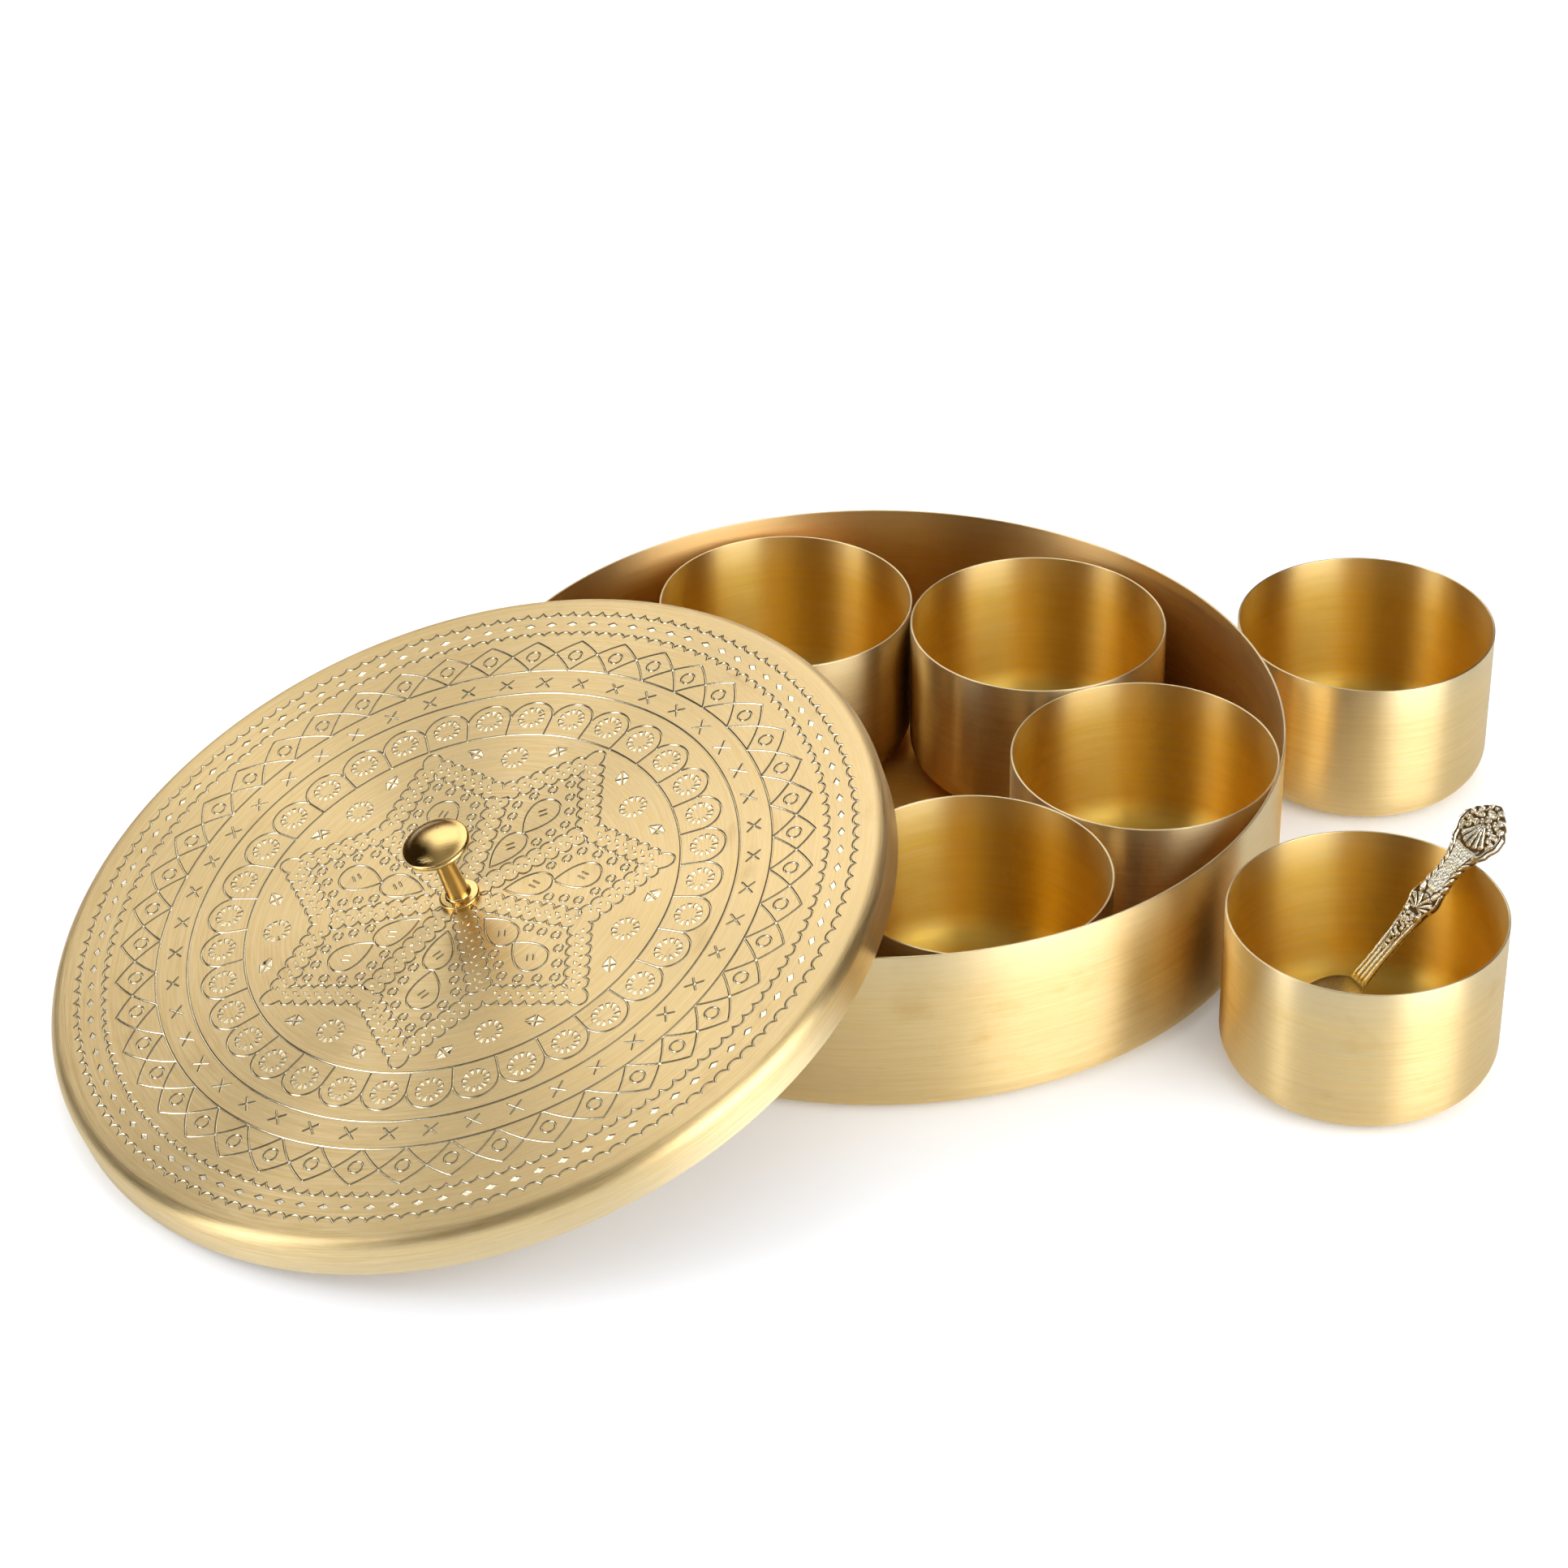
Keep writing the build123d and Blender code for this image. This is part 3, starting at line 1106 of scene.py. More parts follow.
    def draw_star(self) -> None:
        """The star with its outline, and the rosettes and florets between its arms."""
        half = 180.0 / self.arms
        outline = []
        for index in range(self.arms):
            axis = self.first_arm + 2.0 * half * index
            self.draw_arm(axis)
            tip = polar(self.star_tip, axis)
            sides = []
            for side in (-1.0, 1.0):
                notch = polar(self.star_notch, axis + side * half)
                ahead = heading(notch, tip)
                length = math.dist(notch, tip) - self.tip_loop
                parts = range(self.edge_scallops + 1)
                pitch = [length * part / self.edge_scallops for part in parts]
                sides.append([beside(notch, ahead, along, 0.0) for along in pitch])
                self.draw_floret(polar(self.floret_ring, axis + side * (half - self.floret_turn)), ahead)
            outline += self.scalloped(sides[0], -self.edge_rise)
            start, end = sides[0][-1], sides[1][-1]
            middle = between(start, end, 0.5)
            reach = self.star_tip + self.tip_rise - math.hypot(*middle)
            width = math.dist(start, end) / 2
            for part in range(self.tip_steps):
                turn = math.pi * part / self.tip_steps
                along = reach * math.sin(turn) ** self.tip_power
                outline.append(beside(middle, polar(1.0, axis), along, -width * math.cos(turn)))
            outline += self.scalloped(sides[1][::-1], -self.edge_rise)
            self.rosette(polar(self.notch_rosette, axis + half), axis + half)
        self.cut(outline, True)

    def draw_floret(self, centre: Point, ahead: Point) -> None:
        """Four triangles round a cross-shaped gap.

        Args:
            centre: the middle of the cross.
            ahead: the direction of its long arm.
        """
        long, short = self.floret_reach
        gap = self.floret_gap
        turn = math.degrees(math.atan2(ahead[1], ahead[0]))
        for along in (-1.0, 1.0):
            for side in (-1.0, 1.0):
                corners = ((gap, gap), (gap + long, gap), (gap, gap + short))
                self.strike([(along * x, side * y) for x, y in corners], centre, turn)

    def draw(self) -> None:
        """Draws the whole pattern."""
        self.hand = random.Random(self.seed)
        self.draw_borders()
        self.draw_lattice()
        self.draw_arches()
        self.draw_star()


@dataclass
class EngravedPlate:
    """The lid's flat top as a mesh whose edges follow every cut, so that each is real geometry."""

    engraving: Engraving
    radius: float
    hole: float
    sides: int
    grid: float = 3.2
    clear: float = 0.55
    merge: float = 0.02
    reach: float = 0.75
    punch_bottom: float = 0.72
    fewest: int = 8
    hole_margin: float = 1.0
    snap: float = 1e-4
    struck: float = 1e-3

    def __post_init__(self) -> None:
        """Starts with no points."""
        self.points: list[Vector] = []
        self.edges: list[tuple[int, int]] = []

    def add_line(self, line: list[Point], closed: bool) -> None:
        """Adds a line's points, and the edges between them.

        Args:
            line: the points.
            closed: whether the last joins the first.
        """
        start = len(self.points)
        count = len(line)
        self.points += [Vector(point) for point in line]
        self.edges += [(start + index, start + index + 1) for index in range(count - 1)]
        if closed:
            self.edges.append((start + count - 1, start))

    def add_grid(self, cuts: KDTree) -> None:
        """Adds rings of points between the cuts, so that the flats have even triangles."""
        rings = int(self.radius / self.grid)
        for ring in range(1, rings):
            radius = ring * self.grid
            count = max(self.fewest, round(2 * math.pi * radius / self.grid))
            for index in range(count):
                point = polar(radius, 360.0 * (index + 0.5 * (ring % 2)) / count)
                if radius > self.hole + self.hole_margin and cuts.find((*point, 0.0))[2] > self.clear:
                    self.points.append(Vector(point))

    def height(self, point: Vector, cuts: KDTree, segments: list[tuple[Point, Point, Stroke]]) -> float:
        """How deep the plate is cut at a point: the deepest of the strokes that reach it.

        Args:
            point: the point.
            cuts: the middles of the strokes' segments, for finding the near ones.
            segments: each segment's ends and its stroke.

        Returns:
            The height, at most 0.
        """
        lowest = 0.0
        for _, index, _ in cuts.find_range((point.x, point.y, 0.0), self.reach):
            start, end, stroke = segments[index]
            ahead = heading(start, end)
            off = (point.x - start[0], point.y - start[1])
            along = min(max(off[0] * ahead[0] + off[1] * ahead[1], 0.0), math.dist(start, end))
            distance = math.hypot(off[0] - ahead[0] * along, off[1] - ahead[1] * along)
            lowest = min(lowest, -stroke.depth * (1.0 - 2.0 * distance / stroke.width))
        return lowest

    def build(self, name: str) -> bpy.types.Object:
        """Builds the plate.

        Args:
            name: the new object's name.

        Returns:
            The plate, with its cuts' depth marked.
        """
        segments = []
        for stroke in self.engraving.strokes:
            ends = stroke.points[1:] + (stroke.points[:1] if stroke.closed else [])
            segments += [(start, end, stroke) for start, end in zip(stroke.points, ends)]
            self.add_line(stroke.points, stroke.closed)
            for side in stroke.sides():
                self.add_line(side, True)
        places = []
        for index, (start, end, _) in enumerate(segments):
            parts = max(1, math.ceil(math.dist(start, end) / self.reach))
            places += [((*between(start, end, (part + 0.5) / parts), 0.0), index) for part in range(parts)]
        cuts = KDTree(len(places))
        corners = sum(len(punch.outline) for punch in self.engraving.punches)
        near = KDTree(len(places) + 2 * corners)
        for place, index in places:
            cuts.insert(place, index)
            near.insert(place, index)
        cuts.balance()
        bottoms = KDTree(corners)
        for index, punch in enumerate(self.engraving.punches):
            first = len(self.points)
            count = len(punch.outline)
            bottom = punch.bottom(self.punch_bottom)
            self.add_line(punch.outline, True)
            self.add_line(bottom, True)
            self.edges += [(first + corner, first + count + corner) for corner in range(count)]
            for corner in bottom:
                bottoms.insert((*corner, 0.0), index)
            for corner in punch.outline + bottom:
                near.insert((*corner, 0.0), index)
        near.balance()
        bottoms.balance()
        for radius in (self.radius, self.hole):
            self.add_line([polar(radius, 360.0 * side / self.sides) for side in range(self.sides)], True)
        self.add_grid(near)
        made = delaunay_2d_cdt(self.points, self.edges, [], 0, self.snap, False)
        heights = []
        for point in made[0]:
            _, index, distance = bottoms.find((point.x, point.y, 0.0))
            low = -self.engraving.punches[index].depth if distance < self.struck else 0.0
            heights.append(min(low, self.height(point, cuts, segments)))
        faces = [
            face for face in made[2]
            if sum((made[0][corner] for corner in face), Vector((0.0, 0.0))).length / 3 > self.hole
        ]
        obj = new_piece(name, [(*point, height) for point, height in zip(made[0], heights)], faces)
        clean_mesh(obj, self.merge)
        self.mark(obj, bottoms)
        return obj

    def mark(self, obj: bpy.types.Object, bottoms: KDTree) -> None:
        """Marks the plate with its place, its grain and the depth of its cuts.

        Args:
            obj: the plate.
            bottoms: the corners of the punches' flat bottoms.
        """
        places, across, depths = [], [], []
        for vertex in obj.data.vertices:
            x, y, z = vertex.co
            radius = math.hypot(x, y)
            places.append(Vector((x, y, radius)))
            across.append(Vector((x, y, 0.0)) / radius)
            struck = bottoms.find((x, y, 0.0))[2] < 2 * self.merge
            depths.append(1.0 if struck else min(1.0, -z / self.engraving.line_depth))
        vector_attribute(obj.data, PLACE_ATTRIBUTE, places)
        vector_attribute(obj.data, ACROSS_ATTRIBUTE, across)
        value_attribute(obj.data, WEAR_AND_PAINTED_LIGHT_ATTRIBUTE, [0.0] * len(places))
        value_attribute(obj.data, CUT_ATTRIBUTE, depths)


# The pieces


@dataclass
class Pan:
    """A round, straight-walled sheet vessel with a flat bottom, such as the box or a bowl."""

    radius: float
    height: float
    sheet: float
    corner: float
    sides: int
    rim_break: float = RIM_BREAK
    corner_steps: int = 10
    wall_steps: int = 3
    floor_rings: int = 6
    smooth_angle: float = 40.0

    def profile(self) -> list[Point]:
        """The vessel's profile, from the middle of its underside round the rim to the middle of its floor."""
        inside = self.radius - self.sheet
        hub = self.radius - self.corner
        rim = self.rim_break
        floor = [hub * (ring + 1) / self.floor_rings for ring in range(self.floor_rings)]
        points = [(radius, 0.0) for radius in floor[:-1]]
        points += arc((hub, self.corner), self.corner, -90, 0, self.corner_steps)
        rise = self.height - rim - self.corner
        walls = [self.corner + rise * step / self.wall_steps for step in range(1, self.wall_steps + 1)]
        points += [(self.radius, height) for height in walls]
        points += arc((self.radius - rim, self.height - rim), rim, 30, 90, 2)
        points += arc((inside + rim, self.height - rim), rim, 90, 180, 3)
        points += [(inside, height) for height in reversed(walls[:-1])]
        points += arc((hub, self.corner), self.corner - self.sheet, 0, -90, self.corner_steps)
        points += [(radius, self.sheet) for radius in reversed(floor[:-1])]
        return points

    def build(self, name: str) -> bpy.types.Object:
        """Shapes the vessel and marks its grain.

        Args:
            name: the new object's name.

        Returns:
            The vessel on the Z axis, in millimetres.
        """
        profile = self.profile()
        obj = turn_on_axis(name, profile, self.sides)
        mark_turning(obj, profile, self.height, 2 * self.rim_break)
        smooth(obj, self.smooth_angle)
        return obj


@dataclass
class Box:
    """The open box."""

    pan: Pan = field(default_factory=lambda: Pan(BOX_RADIUS, BOX_HEIGHT, sheet=0.6, corner=7.0, sides=240))

    def build(self, material: bpy.types.Material) -> None:
        """Builds and dresses the box."""
        obj = self.pan.build("box_brushed")
        place_piece(obj, Matrix.Identity(4), material)
        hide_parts("box")
        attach(obj, Body.BOX.value)
        log.info("box: %d faces", len(obj.data.polygons))


@dataclass
class Bowls:
    """The seven loose bowls, shaped once and copied to where each node stands."""

    pan: Pan = field(default_factory=lambda: Pan(BOWL_RADIUS, BOWL_HEIGHT, sheet=0.55, corner=8.5, sides=160))
    names: tuple[str, ...] = (
        "bowl_back_left",
        "bowl_back_right",
        "bowl_right",
        "bowl_front",
        "bowl_left",
        "bowl_outside_back",
        "bowl_outside_front",
    )
    turn_step: float = 51.0
    grain_step: float = 130.0

    def build(self, material: bpy.types.Material) -> None:
        """Builds, places and dresses the bowls, each with its grain turned another way."""
        first = self.pan.build("bowl_pattern")
        for index, name in enumerate(self.names):
            obj = copy_with_mesh(first, f"{name}_brushed")
            low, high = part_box(name)
            middle = (low + high) / 2 / MILLIMETRE
            stand = Matrix.Translation((middle.x, middle.y, low.z / MILLIMETRE))
            for item in obj.data.attributes[PLACE_ATTRIBUTE].data:
                item.vector = item.vector + Vector((0.0, 0.0, self.grain_step * index))
            place_piece(obj, stand @ turned_about("Z", self.turn_step * index), material)
            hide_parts(name)
            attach(obj, name)
        bpy.data.objects.remove(first)
        log.info("bowls: %d", len(self.names))


@dataclass
class Lid:
    """The engraved lid, its lower edge on the table, leaning on the box's rim."""

    radius: float = 102.0
    skirt: float = 10.0
    sheet: float = 0.6
    edge: float = 3.3
    rim_break: float = RIM_BREAK
    hole: float = 1.7
    sides: int = 360
    edge_steps: int = 10
    lining_steps: int = 8
    tilt: float = 17.7
    side_turn: float = -147.2
    side_shift: float = 3.2
    rest_gap: float = 0.25
    smooth_angle: float = 22.0

    def place(self) -> Matrix:
        """Where the middle of the lid's top lies, in millimetres."""
        slope = math.radians(self.tilt)
        rise = self.skirt * math.cos(slope) + self.radius * math.sin(slope)
        above_rim = BOX_HEIGHT + self.rest_gap + self.sheet / math.cos(slope) - rise
        along = BOX_RADIUS + above_rim / math.tan(slope)
        turn = math.radians(self.side_turn)
        x = along * math.cos(turn) - self.side_shift * math.sin(turn)
        y = along * math.sin(turn) + self.side_shift * math.cos(turn)
        lean = turned_about("Z", self.side_turn) @ turned_about("Y", self.tilt)
        return Matrix.Translation((x, y, rise)) @ lean

    def profile(self) -> list[Point]:
        """The lid's profile from the rim of its flat top, round its skirt, to the screw hole's lower edge."""
        inside = self.radius - self.sheet
        hub = self.radius - self.edge
        rim = self.rim_break
        points = arc((hub, -self.edge), self.edge, 90, 0, self.edge_steps)
        points += arc((self.radius - rim, -self.skirt + rim), rim, 0, -90, 2)
        points += arc((inside + rim, -self.skirt + rim), rim, -90, -180, 2)
        points += arc((hub, -self.edge), self.edge - self.sheet, 0, 90, self.lining_steps)
        return points + [(self.hole, -self.sheet), (self.hole, 0.0)]

    def build(self, material: bpy.types.Material) -> None:
        """Builds and dresses the lid: an engraved top, joined to a turned edge, skirt and lining."""
        profile = self.profile()
        shell = turn_on_axis("lid_shell", profile, self.sides, closed=False)
        mark_turning(shell, profile, -self.skirt, 2 * self.rim_break)
        value_attribute(shell.data, CUT_ATTRIBUTE, [0.0] * len(shell.data.vertices))
        engraving = Engraving()
        engraving.draw()
        plate = EngravedPlate(engraving, self.radius - self.edge, self.hole, self.sides)
        obj = plate.build("lid_engraved")
        select_only(obj)
        shell.select_set(True)
        bpy.ops.object.join()
        clean_mesh(obj, plate.merge)
        smooth(obj, self.smooth_angle)
        place_piece(obj, self.place(), material)
        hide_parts("lid")
        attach(obj, Body.LID.value)
        counts = len(engraving.strokes), len(engraving.punches), len(obj.data.polygons)
        log.info("lid: %d strokes, %d punches, %d faces", *counts)


@dataclass
class Knob:
    """The turned and polished knob, with the blind bore that its screw stands in."""

    flange: float = 4.9
    flange_height: float = 1.5
    edge_round: float = 0.5
    foot: float = 2.7
    foot_round: float = 0.7
    stem: float = 2.25
    neck_round: float = 0.9
    head: float = 8.1
    head_underside: float = 15.6
    head_edge: float = 17.9
    lip_below: float = 0.8
    lip_above: float = 0.7
    lip_round: float = 0.7
    step_width: float = 0.8
    step_height: float = 0.25
    height: float = 20.4
    bore: float = 1.54
    bore_depth: float = 9.0
    foot_steps: int = 5
    neck_steps: int = 6
    lip_steps: int = 10
    dome_steps: int = 14
    sides: int = 96
    smooth_angle: float = 30.0

    def lip(self) -> list[Point]:
        """The head's rounded lip, an arc through its lower, widest and upper points."""
        lower = (self.head - self.lip_round, self.head_edge - self.lip_below)
        upper = (self.head - self.lip_round, self.head_edge + self.lip_above)
        half = (upper[1] - lower[1]) / 2
        radius = (half**2 + self.lip_round**2) / (2 * self.lip_round)
        reach = math.degrees(math.asin(half / radius))
        middle = (lower[1] + upper[1]) / 2
        return arc((self.head - radius, middle), radius, -reach, reach, self.lip_steps)

    def dome(self) -> list[Point]:
        """The head's low dome inside the step of its lip, without its middle point."""
        radius = self.head - self.lip_round - self.step_width
        foot = self.head_edge + self.lip_above + self.step_height
        rise = self.height - foot
        ball = (radius**2 + rise**2) / (2 * rise)
        reach = math.degrees(math.asin(radius / ball))
        return arc((0.0, self.height - ball), ball, 90 - reach, 90, self.dome_steps)[:-1]

    def profile(self) -> list[Point]:
        """The knob's profile, from the end of its bore to the top of its head."""
        top = self.flange_height
        turn = self.edge_round
        points = [(self.bore, self.bore_depth), (self.bore, 0.0), (self.flange, 0.0)]
        points += arc((self.flange - turn, top - turn), turn, 0, 90, self.foot_steps)
        turn = self.foot_round
        points += arc((self.foot + turn, top + turn), turn, -90, -180, self.foot_steps)
        turn = self.neck_round
        points += arc((self.stem + turn, self.head_underside - turn), turn, 180, 90, self.neck_steps)
        return points + self.lip() + self.dome()

    def build(self, material: bpy.types.Material, lean: Matrix) -> None:
        """Builds and dresses the knob.

        Args:
            material: its polished brass.
            lean: the lid's place, in millimetres.
        """
        obj = turn_on_axis("lid_knob_turned", self.profile(), self.sides)
        smooth(obj, self.smooth_angle)
        place_piece(obj, lean, material)
        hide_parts("lid_knob")
        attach(obj, Body.LID.value)
        log.info("knob: %d faces", len(obj.data.polygons))


def bell(distance: float, width: float) -> float:
    """A smooth hump that is 1 at no distance and fades out over the width."""
    return math.exp(-((distance / width) ** 2))


def window(value: float, low: float, high: float, fade: float) -> float:
    """A smooth 1 between low and high, fading to 0 over a length outside them."""
    rise = min(max((value - low + fade) / fade, 0.0), 1.0)
    fall = min(max((high + fade - value) / fade, 0.0), 1.0)
    share = min(rise, fall)
    return share * share * (3.0 - 2.0 * share)


def along_stations(stations: tuple[Point, ...], value: float) -> float:
    """A smooth value between stations, each a place and its value."""
    for (place_a, value_a), (place_b, value_b) in zip(stations, stations[1:]):
        if value <= place_b:
            share = min(max((value - place_a) / (place_b - place_a), 0.0), 1.0)
            return value_a + (value_b - value_a) * share * share * (3.0 - 2.0 * share)
    return stations[-1][1]


@dataclass
class SpoonOrnament:
    """The relief cast on the handle's front.

    From the foot up: reeds, a drop of berries, leaf scrolls with a palmette, a stippled panel between
    leaf borders, and a hanging fan under a scrolled crest. Lengths run along the handle from its collar.
    A span is where a form starts and ends and how long it fades; a border its inset, width and height.
    """

    grain: float = 0.05
    grain_scale: float = 1.9
    reeds: int = 4
    reed_run: Span = (0.8, 22.5, 1.0)
    reed_height: float = 0.26
    fringe_run: Span = (-0.8, 0.4, 0.5)
    fringe_height: float = 0.3
    fringe_pitch: float = 0.75
    drop: Point = (12.6, 22.6)
    drop_slope: float = 0.19
    drop_tip: float = 0.15
    berry_size: float = 0.85
    berry_height: float = 0.75
    berry_reach: float = 0.7
    swell_range: Point = (21.0, 33.0)
    swell_rim: Border = (0.4, 0.32, 0.6)
    swell_rim_run: Span = (23.0, 29.5, 1.0)
    small_scroll: Point = (23.4, 2.15)
    small_scroll_height: float = 0.75
    palmette: float = 23.9
    palmette_run: Span = (0.9, 4.3, 0.6)
    palmette_turns: Span = (-1.0, 75.0, 12.0)
    palmette_height: float = 0.6
    palmette_pitch: float = 24.0
    palmette_bend: float = 5.0
    large_scroll: Point = (29.4, 2.2)
    large_scroll_height: float = 0.8
    panel: Point = (30.6, 42.4)
    panel_height: float = 0.24
    panel_borders: tuple[Point, ...] = ((30.0, 1.2), (34.0, 1.35), (38.0, 1.45), (42.0, 1.7))
    stipple_height: float = 0.1
    stipple_scale: float = 4.2
    leaf_pitch: float = 2.3
    leaf_slant: float = 0.9
    leaf_border: Border = (0.55, 0.75, 0.5)
    head_start: float = 40.5
    head_borders: tuple[Border, ...] = ((0.4, 0.3, 0.5), (1.25, 0.26, 0.42))
    head_border_run: Span = (42.0, 49.6, 1.2)
    fan: float = 50.2
    fan_reach: float = 7.2
    fan_flute: float = 15.0
    fan_spread: float = 38.0
    curl_size: float = 1.25
    curl_height: float = 0.62
    curl_reach: float = 0.72
    curl_run: Span = (43.5, BEYOND, 0.8)
    curl_inset: Span = (1.7, BEYOND, 0.4)
    curl_gap: float = 6.0
    lobe_height: float = 0.75
    bud: Point = (51.4, 0.5)
    crest_lobes: tuple[tuple[float, float, float], ...] = (
        (53.9, 1.5, 0.9),
        (52.1, 3.1, 0.95),
        (50.4, 4.5, 0.9),
        (54.3, 0.0, 0.55),
    )

    def height(self, x: float, y: float, half: float) -> float:
        """The relief at a point.

        Args:
            x: how far along the handle it is.
            y: how far from the middle line.
            half: half the handle's width there.

        Returns:
            The relief's height above its ground.
        """
        side = abs(y)
        edge = half - side
        relief = self.stem(x, y, side, half)
        relief += self.swell(x, y, side, edge)
        relief += self.neck(x, y, edge)
        relief += self.head(x, side, edge)
        return relief + self.grain * noise.noise(Vector((x * self.grain_scale, y * self.grain_scale, 3.0)))

    def stem(self, x: float, y: float, side: float, half: float) -> float:
        """The reeds, the fringe of the collar, and the drop of berries laid over the middle reeds."""
        if x > self.drop[1] + 3.0:
            return 0.0
        share = (y / half + 1.0) * self.reeds / 2.0 % 1.0
        reed = math.sqrt(max(0.0, math.sin(math.pi * share)))
        start, end = self.drop
        spread = self.drop_slope * max(0.0, x - start) + self.drop_tip
        berries = window(x, start, end, 0.8) * window(spread - side, 0.0, BEYOND, 0.3)
        cells = noise.voronoi(Vector((x, y, 0.0)) / self.berry_size)[0]
        berry = self.berry_height * math.sqrt(max(0.0, 1.0 - (cells[0] / self.berry_reach) ** 2))
        smooth_reed = self.reed_height * reed * window(x, *self.reed_run)
        wave = 0.5 + 0.5 * math.cos(2 * math.pi * y / self.fringe_pitch)
        fringe = self.fringe_height * wave * window(x, *self.fringe_run)
        return smooth_reed * (1.0 - berries) + berry * berries + fringe

    def swell(self, x: float, y: float, side: float, edge: float) -> float:
        """Two pairs of scrolls, a palmette between them and a bright rim round the swell."""
        if not self.swell_range[0] < x < self.swell_range[1]:
            return 0.0
        inset, width, height = self.swell_rim
        relief = height * bell(edge - inset, width) * window(x, *self.swell_rim_run)
        place_x, place_y = self.small_scroll
        off = math.hypot((x - place_x) / 1.1, (side - place_y) / 0.7)
        relief = max(relief, self.small_scroll_height * bell(off, 1.0))
        place_x, place_y = self.large_scroll
        off = math.hypot((x - place_x) / 1.35, (side - place_y - 0.25 * (x - place_x)) / 0.75)
        relief = max(relief, self.large_scroll_height * window(off, 0.0, 0.75, 0.4))
        far, turn = math.hypot(x - self.palmette, y), math.degrees(math.atan2(side, x - self.palmette))
        bent = turn - self.palmette_bend * far
        petal = abs(math.cos(math.radians(bent * 180.0 / self.palmette_pitch))) ** 0.7
        petal *= window(far, *self.palmette_run) * window(turn, *self.palmette_turns)
        return max(relief, self.palmette_height * petal)

    def neck(self, x: float, y: float, edge: float) -> float:
        """The stippled panel between two borders of slanting leaves."""
        low, high = self.panel
        inside = window(x, low, high, 0.7)
        if inside == 0.0:
            return 0.0
        border = along_stations(self.panel_borders, x)
        stipple = noise.noise(Vector((x * self.stipple_scale, y * self.stipple_scale, 8.0)))
        panel = (self.panel_height + self.stipple_height * stipple) * window(edge, border, BEYOND, 0.25)
        share = ((x + self.leaf_slant * (edge - border)) / self.leaf_pitch) % 1.0
        inset, width, height = self.leaf_border
        leaf = math.sin(math.pi * share) ** 0.6 * math.sqrt(max(0.0, 1.0 - ((edge - inset) / width) ** 2))
        return inside * max(panel, height * leaf)

    def head(self, x: float, side: float, edge: float) -> float:
        """The fan that hangs from the crest, the curls beside it and the double border round them."""
        if x < self.head_start:
            return 0.0
        borders = sum(height * bell(edge - inset, width) for inset, width, height in self.head_borders)
        relief = borders * window(x, *self.head_border_run)
        far, turn = math.hypot(x - self.fan, side), math.degrees(math.atan2(side, self.fan - x))
        reach = self.fan_reach - 0.018 * turn
        flute = abs(math.cos(math.radians(turn * 180.0 / self.fan_flute))) ** 0.6
        body = window(far, 1.0, reach - 0.5, 0.5) * window(turn, -1.0, self.fan_spread, 4.0)
        relief = max(relief, (0.4 + 0.4 * far / reach) * flute * body)
        cells = noise.voronoi(Vector((x, side, 4.0)) / self.curl_size)[0]
        curls = self.curl_height * math.sqrt(max(0.0, 1.0 - (cells[0] / self.curl_reach) ** 2))
        curls *= window(turn, self.fan_spread + self.curl_gap, BEYOND, self.curl_gap)
        relief = max(relief, curls * window(edge, *self.curl_inset) * window(x, *self.curl_run))
        for centre_x, centre_y, size in self.crest_lobes:
            off = math.hypot(x - centre_x, 1.25 * (side - centre_y)) / size
            relief = max(relief, self.lobe_height * window(off, 0.0, 0.7, 0.5) - 0.3 * bell(off, 0.3))
        bud_at, bud_height = self.bud
        return max(relief, bud_height * bell(math.hypot((x - bud_at) / 1.6, side / 0.45), 1.0))


